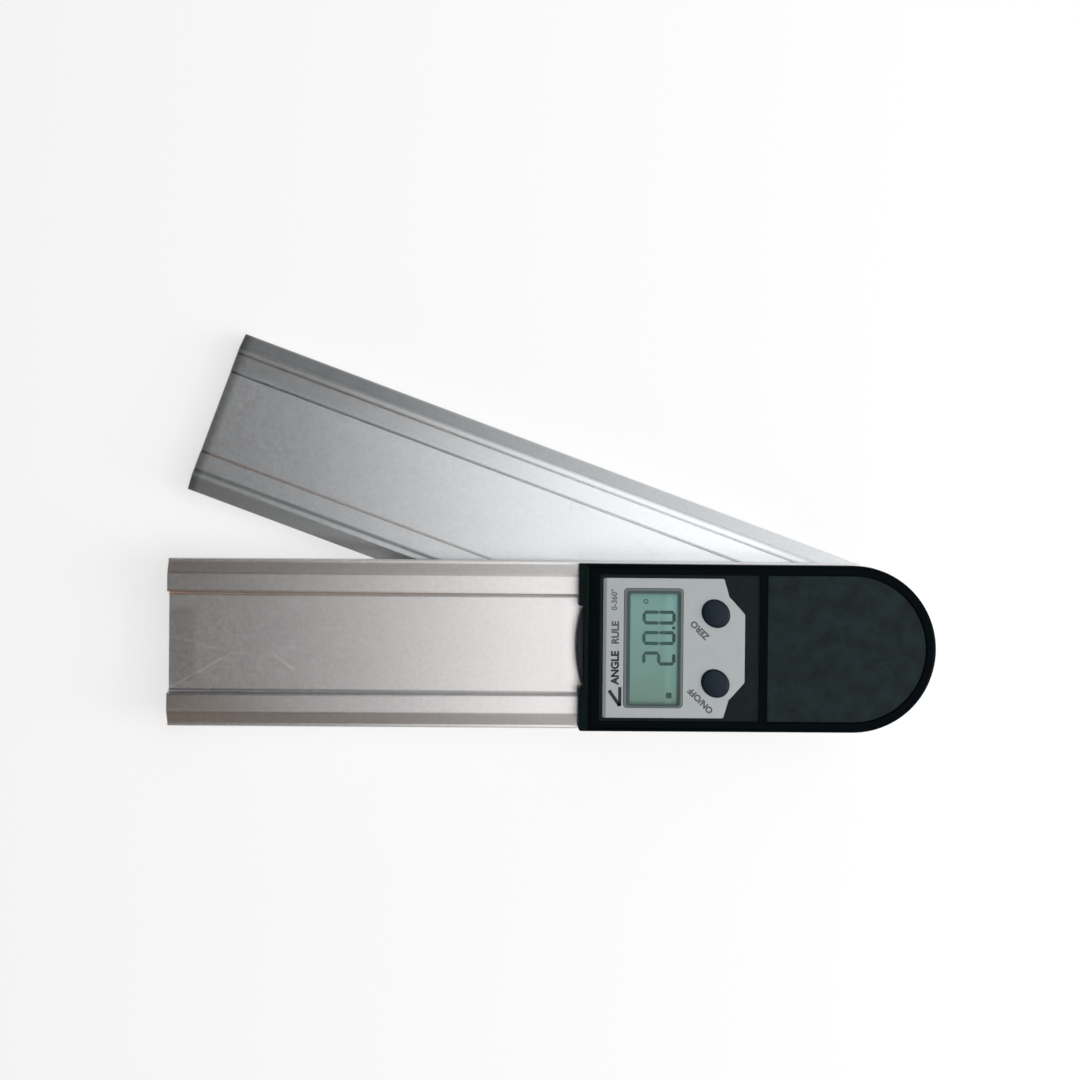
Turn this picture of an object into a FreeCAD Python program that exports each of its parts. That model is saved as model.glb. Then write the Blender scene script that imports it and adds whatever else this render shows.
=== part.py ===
import FreeCAD, Part

import math
import os

# Digital angle rule: two extruded aluminium arms on a pivot, with a plastic measuring head on the upper.
# All sizes are in millimetres. The origin lies on the pivot axis, in the plane that the lower arm rests on.
# The upper, fixed arm runs from the pivot along -X, and +Z points from the lower arm to the head.

# Arms, both cut from one extrusion
ARM_WIDTH = 50.8
ARM_REACH = 205.2        # from the pivot axis to the free end
ARM_THICKNESS = 8.0
REST_ANGLE = 20.0        # opening between the arms at rest, in degrees
ARM_GAP = 0.5            # between the facing sides of the two arms
END_CHAMFER = 0.25

# Outer side of the extrusion, measured inwards from its long edge
EDGE_LEDGE = 1.1
BEVEL_WIDTH = 3.5
BEVEL_DROP = 1.7
BEVEL_BLEND = 4.0
LAND_WIDTH = 5.4
WEB_DEPTH = 3.0
STEP_LEAN = 0.5
WEB_BLEND = 1.2

# Inner side of the extrusion, the one that faces the other arm
INNER_BEVEL_WIDTH = 4.4
INNER_BEVEL_DROP = 1.6
GROOVE_INSET = 6.4
GROOVE_WIDTH = 0.7
GROOVE_DEPTH = 0.4
WEB_LINE_INSET = 12.4
WEB_LINE_WIDTH = 0.8
WEB_LINE_DEPTH = 0.65
INNER_RECESS = 0.3

# Pivot
SHAFT_RADIUS = 6.0
SHAFT_THREAD_RADIUS = 4.0
SPIGOT_RADIUS = 3.0
FLANGE_RADIUS = 12.9
FLANGE_CLEARANCE = 0.5   # the flange stays this far above the resting plane
FLANGE_SCREW_CIRCLE = 9.3
FLANGE_SCREW_COUNT = 3
SPANNER_HOLE_RADIUS = 1.0
SPANNER_HOLE_CIRCLE = 4.5
SPANNER_HOLE_DEPTH = 1.5
BUSH_WALL = 2.0
BUSH_FLANGE_RADIUS = 10.5
BUSH_FLANGE_THICKNESS = 1.0
WASHER_RADIUS = 12.0
SPRING_RADIUS = 7.8
SPRING_THICKNESS = 0.4
SPRING_RISE = 0.45
NUT_RADIUS = 7.5
NUT_HEIGHT = 1.9
NUT_SLOT_WIDTH = 2.0
NUT_SLOT_DEPTH = 1.6
NUT_SLOT_COUNT = 4
AXIAL_PLAY = 0.05
FIT = 0.02               # radial gap of a located or screwed fit
RUNNING_FIT = 0.03       # radial gap of the shaft in its bush

# Head shell
HEAD_BACK = 81.6         # from the pivot axis to the head's flat end
HEAD_INSET = 0.5         # the shell stands this far inside the arm's edge
HEAD_RISE = 8.0          # above the arm's lands
SHELL_WALL = 1.8
LID_WALL = 1.4
RIM_ROUND = 1.2
CORNER_ROUND = 0.8
END_SLOPE_WIDTH = 2.6
END_SLOPE_DROP = 1.4

# Display pocket in the shell's top, with the face plate
END_RIM = 7.0
SIDE_RIM = 4.1
POCKET_DEPTH = 0.5
POCKET_LENGTH = 46.6
POCKET_ROUND = 0.7
PLATE_GAP = 0.1
PLATE_MARGIN = 1.0       # the pocket's floor shows this far round the plate
PLATE_THICKNESS = 0.5
PLATE_BEVEL_WIDTH = 1.0
PLATE_BEVEL_DROP = 0.4
PLATE_LENGTH = 42.1
PLATE_SHOULDER = 35.8    # from the plate's back edge to its front corners
PLATE_KNEE = 37.4        # to the bend beside each button
PLATE_KNEE_HALF = 15.3
PLATE_NECK = 38.4        # to the start of the middle tab
PLATE_NECK_HALF = 14.3
PLATE_TAB_HALF = 10.5
PLATE_TAB_CORNER = 0.5

# Window, its frame and the display under it
WINDOW_INSET = 14.9      # from the plate's back edge to the window's middle
WINDOW_WIDTH = 17.6
WINDOW_LENGTH = 35.4
WINDOW_ROUND = 1.2
FRAME_WALL = 1.6
FRAME_THICKNESS = 0.5
LENS_THICKNESS = 0.7
SEAT_LEDGE = 1.6
GLASS_WIDTH = 16.8
GLASS_LENGTH = 37.0
GLASS_THICKNESS = 0.85
GLASS_STEP = 1.4
ZEBRA_WIDTH = 1.6
ZEBRA_HEIGHT = 1.6
ZEBRA_LENGTH = 34.0
HOLDER_WALL = 0.75
DISPLAY_PLAY = 0.1

# Buttons
BUTTON_INSET = 33.4      # from the plate's back edge to the buttons
BUTTON_SPREAD = 10.35    # from the head's middle line
BUTTON_LONG = 4.3
BUTTON_SHORT = 3.75
BUTTON_TURN = -45.0
BUTTON_PROUD = 1.1
BUTTON_DOME = 11.0
BUTTON_GAP = 0.15
BUTTON_FLANGE = 0.8
BUTTON_FLANGE_HEIGHT = 0.9
BUTTON_STEM_RADIUS = 1.6
BUTTON_TRAVEL = 0.5
SWITCH_SIDE = 6.0
SWITCH_HEIGHT = 0.8
PLUNGER_RADIUS = 1.7
PLUNGER_HEIGHT = 0.25

# Hinge cover, the round-ended plate over the pivot
CROSS_BAR = 2.1
COVER_RIM = 2.9
COVER_THICKNESS = 1.4
COVER_SUNK = 0.4
COVER_GAP = 0.12
DECK_WALL = 1.4
DECK_OPENING = 17.4

# Circuit board, measuring disc and the parts on the board
BOARD_THICKNESS = 1.2
BOARD_GAP = 0.3
BOARD_HOLE_RADIUS = 4.4
ROTOR_RADIUS = 16.5
ROTOR_THICKNESS = 1.0
ROTOR_GAP = 0.35
CHIP_SIDE = 9.0
CHIP_HEIGHT = 1.4
CHIP_PLACE = 27.5        # from the pivot axis
CRYSTAL_RADIUS = 1.0
CRYSTAL_LENGTH = 6.0
CRYSTAL_PLACE = 36.5

# Screws
SCREW_RADIUS = 1.0
SCREW_HEAD_RADIUS = 1.75
SCREW_HEAD_HEIGHT = 1.3
SCREW_SOCKET_WIDTH = 0.5
SCREW_SOCKET_REACH = 1.2 # from the screw's axis to the end of a slot
SCREW_SOCKET_DEPTH = 0.6
POST_RADIUS = 2.6
POST_SEAT = 3.5          # from the arm to the screw head's seat
POST_GAP = 0.2
SCREW_BITE = 4.5         # depth in the arm's lands
WEB_SCREW_BITE = 3.2     # depth in the arm's web
HOLE_SPARE = 0.4
BACK_POST_INSET = 9.9    # from the head's flat end
FRONT_POST_PLACE = 19.5  # from the pivot axis
NOSE_POST_PLACE = 20.3
BOSS_RADIUS = 1.9
BOSS_EDGE = 2.5          # from the shell's inner wall to a boss's middle
BACK_BOSS_INSET = 5.3
FRONT_BOSS_PLACE = 30.9
BOARD_SCREW_LENGTH = 3.6

# Battery drawer
CELL_RADIUS = 10.0
CELL_HEIGHT = 3.2
CELL_CAP_RADIUS = 8.8
CELL_CAP_HEIGHT = 0.3
CELL_GAP = 0.15
TRAY_SIDE_WALL = 0.85
TRAY_FLOOR = 0.6
TRAY_WALL_HEIGHT = 3.2   # from the tray's underside
TRAY_LIFT = 0.1
TRAY_FRONT_WALL = 1.1
TRAY_TAIL = 4.0
TRAY_MOUTH_HALF = 6.0
RUNNER_GAP = 0.15
RUNNER_EDGE_GAP = 0.25   # between the runners and the blend at the web's edge
RUNNER_BAR = 3.0
BAY_SPARE = 1.5
RECESS_SIDE = 1.3        # the recess is wider than the tray by this, on each side
RECESS_DEPTH = 1.5
FRONT_SIDE = 0.2         # and the drawer's front by this
FRONT_PROUD = 0.75
FRONT_ARC = 40.0
FRONT_HEIGHT = 6.8
FRONT_LIFT = 0.3
FRONT_ROUND = 0.6
FRONT_GAP = 0.1
LEAF_THICKNESS = 0.25
LEAF_WIDTH = 5.0
LEAF_GAP = 0.05
LEAF_PAD = 3.0
LEAF_REACH = 3.5

# Levels and places that follow from the sizes above
ARM_HALF = ARM_WIDTH / 2
BEVEL_TOP = ARM_HALF - EDGE_LEDGE - BEVEL_WIDTH
LAND_INNER = BEVEL_TOP - LAND_WIDTH
LAND_MIDDLE = BEVEL_TOP - LAND_WIDTH / 2
WEB_OUTER_LEVEL = ARM_THICKNESS - WEB_DEPTH

Z_SWING_WEB_LOW = WEB_DEPTH
Z_SWING_WEB_HIGH = ARM_THICKNESS - INNER_RECESS
Z_FIXED = ARM_THICKNESS + ARM_GAP
Z_FIXED_WEB_LOW = Z_FIXED + INNER_RECESS
Z_WEB = Z_FIXED + WEB_OUTER_LEVEL
Z_LAND = Z_FIXED + ARM_THICKNESS
Z_TOP = Z_LAND + HEAD_RISE
Z_FIELD = Z_TOP - POCKET_DEPTH
Z_CEILING = Z_FIELD - LID_WALL
Z_GLASS_TOP = Z_CEILING - DISPLAY_PLAY
Z_GLASS = Z_GLASS_TOP - 2 * GLASS_THICKNESS
Z_BOARD_TOP = Z_GLASS - ZEBRA_HEIGHT
Z_BOARD = Z_BOARD_TOP - BOARD_THICKNESS
Z_COVER = Z_TOP - COVER_SUNK - COVER_THICKNESS
Z_DECK = Z_COVER - DECK_WALL
Z_SHOULDER = Z_WEB + BUSH_FLANGE_THICKNESS + AXIAL_PLAY
Z_NUT = Z_SHOULDER + SPRING_THICKNESS + SPRING_RISE + AXIAL_PLAY
Z_ROTOR = Z_BOARD_TOP + ROTOR_GAP
Z_TRAY = Z_WEB + TRAY_LIFT
Z_CELL = Z_TRAY + TRAY_FLOOR

HEAD_HALF = ARM_HALF - HEAD_INSET
INNER_HALF = HEAD_HALF - SHELL_WALL
INNER_BACK = HEAD_BACK - RECESS_DEPTH - SHELL_WALL
PLATE_BACK = HEAD_BACK - END_RIM
PLATE_HALF = HEAD_HALF - SIDE_RIM - PLATE_GAP
POCKET_FRONT = PLATE_BACK - POCKET_LENGTH
COVER_BACK = POCKET_FRONT - CROSS_BAR
WINDOW_X = WINDOW_INSET - PLATE_BACK
BUTTON_X = BUTTON_INSET - PLATE_BACK
BUTTON_PLACES = [(BUTTON_X, BUTTON_SPREAD), (BUTTON_X, -BUTTON_SPREAD)]
BACK_POST_X = BACK_POST_INSET - HEAD_BACK
BOSS_Y = INNER_HALF - BOSS_EDGE
TRAY_BACK = HEAD_BACK - RECESS_DEPTH + FRONT_GAP
TRAY_HALF = CELL_RADIUS + CELL_GAP + TRAY_SIDE_WALL
RECESS_HALF = TRAY_HALF + RECESS_SIDE
FRONT_HALF = TRAY_HALF + FRONT_SIDE
CELL_X = TRAY_FRONT_WALL + CELL_GAP + CELL_RADIUS - TRAY_BACK
TRAY_END = CELL_X + CELL_RADIUS + TRAY_TAIL
BAY_END = TRAY_END + BAY_SPARE
RUNNER_INNER = TRAY_HALF + RUNNER_GAP
RUNNER_OUTER = LAND_INNER - STEP_LEAN - WEB_BLEND - RUNNER_EDGE_GAP
LAND_POSTS = [
    (BACK_POST_X, LAND_MIDDLE),
    (BACK_POST_X, -LAND_MIDDLE),
    (-FRONT_POST_PLACE, LAND_MIDDLE),
    (-FRONT_POST_PLACE, -LAND_MIDDLE),
]
WEB_POSTS = [(NOSE_POST_PLACE, 0.0)]
BOSSES = [
    (BACK_BOSS_INSET - HEAD_BACK, BOSS_Y),
    (BACK_BOSS_INSET - HEAD_BACK, -BOSS_Y),
    (-FRONT_BOSS_PLACE, BOSS_Y),
    (-FRONT_BOSS_PLACE, -BOSS_Y),
]

# Tolerances for finding edges and faces
NEAR = 0.01
STRAIGHT = 0.999


def vector(x, y, z):
    return FreeCAD.Vector(x, y, z)


def block(x0, x1, y0, y1, z0, z1):
    """A box between two corners."""
    return Part.makeBox(x1 - x0, y1 - y0, z1 - z0, vector(x0, y0, z0))


def cylinder(radius, z0, z1, x=0.0, y=0.0):
    """An upright cylinder."""
    return Part.makeCylinder(radius, z1 - z0, vector(x, y, z0))


def ring(outer, inner, z0, z1):
    """An upright tube about the pivot axis."""
    return cylinder(outer, z0, z1).cut(cylinder(inner, z0, z1))


def prism(points, z0, z1):
    """An upright prism over a closed outline of (x, y) points."""
    corners = [vector(x, y, z0) for x, y in points]
    face = Part.Face(Part.makePolygon(corners + corners[:1]))
    return face.extrude(vector(0, 0, z1 - z0))


def side_prism(points, y0, y1):
    """A prism along Y over a closed outline of (x, z) points."""
    corners = [vector(x, y0, z) for x, z in points]
    face = Part.Face(Part.makePolygon(corners + corners[:1]))
    return face.extrude(vector(0, y1 - y0, 0))


def revolved(points):
    """A body of revolution about the pivot axis over a closed outline of (radius, z) points."""
    corners = [vector(radius, 0, z) for radius, z in points]
    face = Part.Face(Part.makePolygon(corners + corners[:1]))
    return face.revolve(vector(0, 0, 0), vector(0, 0, 1), 360)


def lug(back, half, z0, z1):
    """A plate with a flat end at x = -back and a round end about the pivot axis."""
    low_back = vector(-back, -half, z0)
    low_front = vector(0, -half, z0)
    high_front = vector(0, half, z0)
    high_back = vector(-back, half, z0)
    edges = [
        Part.LineSegment(low_back, low_front).toShape(),
        Part.Arc(low_front, vector(half, 0, z0), high_front).toShape(),
        Part.LineSegment(high_front, high_back).toShape(),
        Part.LineSegment(high_back, low_back).toShape(),
    ]
    return Part.Face(Part.Wire(edges)).extrude(vector(0, 0, z1 - z0))


def ellipse_post(long_half, short_half, place, z0, z1):
    """An upright elliptical post, turned as the buttons are."""
    curve = Part.Ellipse(vector(0, 0, 0), long_half, short_half)
    post = Part.Face(Part.Wire(curve.toShape())).extrude(vector(0, 0, z1 - z0))
    post.rotate(vector(0, 0, 0), vector(0, 0, 1), BUTTON_TURN)
    post.translate(vector(place[0], place[1], z0))
    return post


def rounded_block(x, y, width, length, radius, z0, z1):
    """A box about (x, y) with rounded upright edges."""
    body = block(x - width / 2, x + width / 2, y - length / 2, y + length / 2, z0, z1)
    return body.makeFillet(radius, upright_edges(body))


def upright_edges(shape):
    """The straight edges that run along Z."""
    return [edge for edge in shape.Edges if is_upright(edge)]


def is_upright(edge):
    """Whether an edge is a straight line along Z."""
    if not isinstance(edge.Curve, Part.Line):
        return False
    return abs(edge.tangentAt(edge.FirstParameter).z) > STRAIGHT


def joined(shapes):
    """One solid from shapes that touch or overlap."""
    return shapes[0].multiFuse(shapes[1:]).removeSplitter()


def without(shape, tools):
    """A shape less all its tools."""
    return shape.cut(Part.makeCompound(tools)) if tools else shape


def screw(place, seat, tip):
    """A pan-head screw standing on its seat, with its tip below."""
    x, y = place
    shank = cylinder(SCREW_RADIUS, tip, seat, x, y)
    head = cylinder(SCREW_HEAD_RADIUS, seat, seat + SCREW_HEAD_HEIGHT, x, y)
    socket_low = seat + SCREW_HEAD_HEIGHT - SCREW_SOCKET_DEPTH
    socket_high = seat + SCREW_HEAD_HEIGHT
    half = SCREW_SOCKET_WIDTH / 2
    slots = [
        block(x - SCREW_SOCKET_REACH, x + SCREW_SOCKET_REACH, y - half, y + half, socket_low, socket_high),
        block(x - half, x + half, y - SCREW_SOCKET_REACH, y + SCREW_SOCKET_REACH, socket_low, socket_high),
    ]
    return without(joined([shank, head]), slots)


def turned_over(shape, place, level):
    """A screw made about a level, turned upside down there."""
    shape.rotate(vector(place[0], place[1], level), vector(1, 0, 0), 180)
    return shape


# The two arms

def profile_half():
    """Half the extrusion's section as (y, z) points, from the middle of its inner side to its outer web."""
    line_middle = ARM_HALF - WEB_LINE_INSET
    groove_middle = ARM_HALF - GROOVE_INSET
    return [
        (line_middle - WEB_LINE_WIDTH / 2, INNER_RECESS),
        (line_middle, WEB_LINE_DEPTH),
        (line_middle + WEB_LINE_WIDTH / 2, 0.0),
        (groove_middle - GROOVE_WIDTH / 2, 0.0),
        (groove_middle, GROOVE_DEPTH),
        (groove_middle + GROOVE_WIDTH / 2, 0.0),
        (ARM_HALF - INNER_BEVEL_WIDTH, 0.0),
        (ARM_HALF, INNER_BEVEL_DROP),
        (ARM_HALF, ARM_THICKNESS - BEVEL_DROP),
        (ARM_HALF - EDGE_LEDGE, ARM_THICKNESS - BEVEL_DROP),
        (BEVEL_TOP, ARM_THICKNESS),
        (LAND_INNER, ARM_THICKNESS),
        (LAND_INNER - STEP_LEAN, WEB_OUTER_LEVEL),
    ]


def long_edges_at(shape, places):
    """The edges along X that pass through the given (y, z) places."""
    found = []
    for edge in shape.Edges:
        middle = edge.CenterOfMass
        along = abs(edge.tangentAt(edge.FirstParameter).x) > STRAIGHT
        near = [1 for y, z in places if abs(abs(middle.y) - y) < NEAR and abs(middle.z - z) < NEAR]
        if along and near:
            found.append(edge)
    return found


def plain_arm():
    """An arm without holes: its inner side at z = 0, its outer side up and its free end along -X."""
    half = profile_half()
    points = half + [(-y, z) for y, z in reversed(half)]
    corners = [vector(-ARM_REACH, y, z) for y, z in points]
    face = Part.Face(Part.makePolygon(corners + corners[:1]))
    bar = face.extrude(vector(ARM_REACH + ARM_HALF, 0, 0))
    bar = bar.makeFillet(BEVEL_BLEND, long_edges_at(bar, [(BEVEL_TOP, ARM_THICKNESS)]))
    bar = bar.makeFillet(WEB_BLEND, long_edges_at(bar, [(LAND_INNER - STEP_LEAN, WEB_OUTER_LEVEL)]))
    arm = bar.common(lug(ARM_REACH, ARM_HALF, 0, ARM_THICKNESS))
    end = [face for face in arm.Faces if abs(face.CenterOfMass.x + ARM_REACH) < NEAR][0]
    return arm.makeChamfer(END_CHAMFER, end.Edges)


def raised_arm():
    """The plain arm at the fixed arm's height."""
    arm = plain_arm()
    arm.translate(vector(0, 0, Z_FIXED))
    return arm


def fixed_arm():
    """The upper arm, with its bush bore and the threaded holes that hold the head."""
    holes = [cylinder(SHAFT_RADIUS + RUNNING_FIT + BUSH_WALL + FIT, Z_FIXED, Z_LAND)]
    hole = SCREW_RADIUS + FIT
    for x, y in LAND_POSTS:
        holes.append(cylinder(hole, Z_LAND - SCREW_BITE - HOLE_SPARE, Z_LAND, x, y))
    for x, y in WEB_POSTS:
        holes.append(cylinder(hole, Z_WEB - WEB_SCREW_BITE - HOLE_SPARE, Z_WEB, x, y))
    return without(raised_arm(), holes)


def flange_places():
    """The middles of the screws that hold the pivot's flange to the lower arm."""
    turns = [2 * math.pi * number / FLANGE_SCREW_COUNT for number in range(FLANGE_SCREW_COUNT)]
    return [(FLANGE_SCREW_CIRCLE * math.cos(t), FLANGE_SCREW_CIRCLE * math.sin(t)) for t in turns]


def with_swing(shape):
    """A shape made with the arms closed, turned to the rest angle with the lower arm."""
    shape.rotate(vector(0, 0, 0), vector(0, 0, 1), -REST_ANGLE)
    return shape


def swing_arm():
    """The lower arm, upside down against the upper one, with its shaft bore and threaded holes."""
    arm = plain_arm()
    arm.rotate(vector(0, 0, 0), vector(1, 0, 0), 180)
    arm.translate(vector(0, 0, ARM_THICKNESS))
    holes = [cylinder(SHAFT_RADIUS + FIT, 0, ARM_THICKNESS)]
    for x, y in flange_places():
        holes.append(cylinder(SCREW_RADIUS + FIT, 0, ARM_THICKNESS, x, y))
    return with_swing(without(arm, holes))


# The pivot

def pivot_shaft():
    """The flanged shaft: flange under the lower arm's web, bearing, thread and the measuring disc's spigot."""
    thread_top = Z_NUT + NUT_HEIGHT + AXIAL_PLAY
    body = joined([
        cylinder(FLANGE_RADIUS, FLANGE_CLEARANCE, Z_SWING_WEB_LOW),
        cylinder(SHAFT_RADIUS, Z_SWING_WEB_LOW, Z_SHOULDER),
        cylinder(SHAFT_THREAD_RADIUS, Z_SHOULDER, thread_top),
        cylinder(SPIGOT_RADIUS, thread_top, Z_ROTOR),
    ])
    cuts = [cylinder(SCREW_RADIUS + FIT, Z_ROTOR - BOARD_SCREW_LENGTH - HOLE_SPARE, Z_ROTOR)]
    for x, y in flange_places():
        cuts.append(cylinder(SCREW_RADIUS + FIT, FLANGE_CLEARANCE, Z_SWING_WEB_LOW, x, y))
        sunk = FLANGE_CLEARANCE + SCREW_HEAD_HEIGHT + AXIAL_PLAY
        cuts.append(cylinder(SCREW_HEAD_RADIUS + FIT, FLANGE_CLEARANCE, sunk, x, y))
    hole_top = FLANGE_CLEARANCE + SPANNER_HOLE_DEPTH
    for side in (-1, 1):
        cuts.append(cylinder(SPANNER_HOLE_RADIUS, FLANGE_CLEARANCE, hole_top, 0, side * SPANNER_HOLE_CIRCLE))
    return with_swing(without(body, cuts))


def flange_screws():
    """The screws that hold the flange, heads down and sunk in it."""
    seat = FLANGE_CLEARANCE + SCREW_HEAD_HEIGHT + AXIAL_PLAY
    tip = Z_SWING_WEB_HIGH - HOLE_SPARE
    screws = []
    for place in flange_places():
        screws.append(turned_over(screw(place, seat, seat - (tip - seat)), place, seat))
    return with_swing(Part.makeCompound(screws))


def thrust_washer():
    """The plastic washer between the two webs."""
    return ring(WASHER_RADIUS, SHAFT_RADIUS + FIT, Z_SWING_WEB_HIGH, Z_FIXED_WEB_LOW - AXIAL_PLAY)


def pivot_bush():
    """The flanged bush in the upper arm's web."""
    sleeve = SHAFT_RADIUS + RUNNING_FIT + BUSH_WALL
    body = joined([
        cylinder(sleeve, Z_FIXED_WEB_LOW, Z_WEB),
        cylinder(BUSH_FLANGE_RADIUS, Z_WEB, Z_WEB + BUSH_FLANGE_THICKNESS),
    ])
    return body.cut(cylinder(SHAFT_RADIUS + RUNNING_FIT, Z_FIXED_WEB_LOW, Z_WEB + BUSH_FLANGE_THICKNESS))


def disc_spring():
    """The conical spring washer that sets the friction, its wide end on the bush."""
    bore = SHAFT_THREAD_RADIUS + 2 * FIT
    return revolved([
        (SPRING_RADIUS, Z_SHOULDER),
        (SPRING_RADIUS, Z_SHOULDER + SPRING_THICKNESS),
        (bore, Z_SHOULDER + SPRING_RISE + SPRING_THICKNESS),
        (bore, Z_SHOULDER + SPRING_RISE),
    ])


def pivot_nut():
    """The slotted round nut above the spring."""
    top = Z_NUT + NUT_HEIGHT
    body = ring(NUT_RADIUS, SHAFT_THREAD_RADIUS + FIT, Z_NUT, top)
    half = NUT_SLOT_WIDTH / 2
    slots = []
    for number in range(NUT_SLOT_COUNT):
        slot = block(NUT_RADIUS - NUT_SLOT_DEPTH, NUT_RADIUS, -half, half, Z_NUT, top)
        slot.rotate(vector(0, 0, 0), vector(0, 0, 1), 360 * number / NUT_SLOT_COUNT)
        slots.append(slot)
    return without(body, slots)


def rotor_disc():
    """The measuring disc on the shaft's spigot, just above the board."""
    return ring(ROTOR_RADIUS, SCREW_RADIUS + FIT, Z_ROTOR, Z_ROTOR + ROTOR_THICKNESS)


def rotor_screw():
    """The screw that clamps the measuring disc."""
    seat = Z_ROTOR + ROTOR_THICKNESS
    return screw((0.0, 0.0), seat, Z_ROTOR - BOARD_SCREW_LENGTH)


# The head's shell and its top plates

def post_seats():
    """Each post as its place, the arm surface under it, its screw seat and the depth of its thread."""
    seats = [(place, Z_LAND, Z_LAND + POST_SEAT, SCREW_BITE) for place in LAND_POSTS]
    return seats + [(place, Z_WEB, Z_WEB + POST_SEAT, WEB_SCREW_BITE) for place in WEB_POSTS]


def shell_blank():
    """The head's outside, before it is hollowed: round nose, sloped back end and the drawer's recess."""
    blank = lug(HEAD_BACK, HEAD_HALF, Z_WEB, Z_TOP)
    corners = [e for e in upright_edges(blank) if e.CenterOfMass.x < -HEAD_BACK / 2]
    blank = blank.makeFillet(CORNER_ROUND, corners)
    top = [e for e in blank.Edges if e.BoundBox.ZMin > Z_TOP - NEAR]
    rim = [e for e in top if e.CenterOfMass.x > -HEAD_BACK + CORNER_ROUND]
    blank = blank.makeFillet(RIM_ROUND, rim)
    slope = side_prism(
        [
            (-HEAD_BACK, Z_TOP),
            (-HEAD_BACK, Z_TOP - END_SLOPE_DROP),
            (-HEAD_BACK + END_SLOPE_WIDTH, Z_TOP),
        ],
        -HEAD_HALF,
        HEAD_HALF,
    )
    recess = block(-HEAD_BACK, RECESS_DEPTH - HEAD_BACK, -RECESS_HALF, RECESS_HALF, Z_WEB, Z_TOP)
    return without(blank, [slope, recess])


def shell_hollow():
    """The space inside the shell: low under the hinge cover's deck, higher under the display."""
    low = lug(INNER_BACK, INNER_HALF, Z_WEB, Z_DECK)
    high = block(-INNER_BACK, -POCKET_FRONT - LID_WALL, -INNER_HALF, INNER_HALF, Z_DECK, Z_CEILING)
    return low.fuse(high)


def shell_posts():
    """The posts that stand on the arm, and the bosses that hold the board."""
    posts = []
    for (x, y), base, seat, bite in post_seats():
        roof = Z_CEILING if x < -POCKET_FRONT else Z_DECK
        posts.append(cylinder(POST_RADIUS, base, roof, x, y))
    for x, y in BOSSES:
        posts.append(cylinder(BOSS_RADIUS, Z_BOARD_TOP, Z_CEILING, x, y))
    return posts


def shell_holes():
    """The screw holes in the posts and bosses."""
    holes = []
    for (x, y), base, seat, bite in post_seats():
        holes.append(cylinder(SCREW_RADIUS + FIT, base, seat, x, y))
        holes.append(cylinder(SCREW_HEAD_RADIUS + POST_GAP / 2, seat, Z_TOP, x, y))
    for x, y in BOSSES:
        top = Z_BOARD + BOARD_SCREW_LENGTH + HOLE_SPARE
        holes.append(cylinder(SCREW_RADIUS + FIT, Z_BOARD_TOP, top, x, y))
    return holes


def shell_openings():
    """The display pocket, the window, the button holes, the hinge cover's pocket and the drawer's slot."""
    pocket_middle = -(PLATE_BACK + PLATE_MARGIN + POCKET_FRONT) / 2
    pocket_width = PLATE_BACK + PLATE_MARGIN - POCKET_FRONT
    pocket_length = 2 * (PLATE_HALF + PLATE_MARGIN)
    seat_level = Z_FIELD + PLATE_THICKNESS - FRAME_THICKNESS - LENS_THICKNESS
    slot_top = Z_CELL + CELL_HEIGHT + RUNNER_GAP
    cuts = [
        rounded_block(pocket_middle, 0, pocket_width, pocket_length, POCKET_ROUND, Z_FIELD, Z_TOP),
        rounded_block(WINDOW_X, 0, WINDOW_WIDTH + PLATE_GAP, WINDOW_LENGTH + PLATE_GAP, WINDOW_ROUND,
                      seat_level, Z_FIELD),
        block(WINDOW_X - WINDOW_WIDTH / 2 + SEAT_LEDGE, WINDOW_X + WINDOW_WIDTH / 2 - SEAT_LEDGE,
              SEAT_LEDGE - WINDOW_LENGTH / 2, WINDOW_LENGTH / 2 - SEAT_LEDGE, Z_CEILING, seat_level),
        lug(COVER_BACK, HEAD_HALF - COVER_RIM, Z_COVER, Z_TOP),
        cylinder(DECK_OPENING, Z_DECK, Z_COVER),
        block(-HEAD_BACK, -INNER_BACK, -RUNNER_INNER, RUNNER_INNER, Z_WEB, slot_top),
    ]
    long_half = BUTTON_LONG + BUTTON_GAP
    short_half = BUTTON_SHORT + BUTTON_GAP
    for place in BUTTON_PLACES:
        cuts.append(ellipse_post(long_half, short_half, place, Z_CEILING, Z_FIELD))
    return cuts


def head_shell():
    """The black shell that carries everything in the head and is screwed to the upper arm."""
    hollow = shell_blank().cut(shell_hollow())
    body = joined([hollow] + shell_posts())
    body = without(body, shell_holes() + shell_openings())
    return body.cut(raised_arm())


def hinge_cover():
    """The round-ended plate that hides the pivot."""
    high = Z_COVER + COVER_THICKNESS
    body = lug(COVER_BACK - COVER_GAP, HEAD_HALF - COVER_RIM - COVER_GAP, Z_COVER, high)
    top = [e for e in body.Edges if e.BoundBox.ZMin > high - NEAR]
    return body.makeChamfer(END_CHAMFER, top)


def plate_outline():
    """The face plate's outline: a straight back, and a front stepped in beside each button."""
    back = -PLATE_BACK
    upper = [
        (back, PLATE_HALF),
        (back + PLATE_SHOULDER, PLATE_HALF),
        (back + PLATE_KNEE, PLATE_KNEE_HALF),
        (back + PLATE_NECK, PLATE_NECK_HALF),
        (back + PLATE_LENGTH - PLATE_TAB_CORNER, PLATE_TAB_HALF),
        (back + PLATE_LENGTH, PLATE_TAB_HALF - PLATE_TAB_CORNER),
    ]
    return upper + [(x, -y) for x, y in reversed(upper)]


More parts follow.
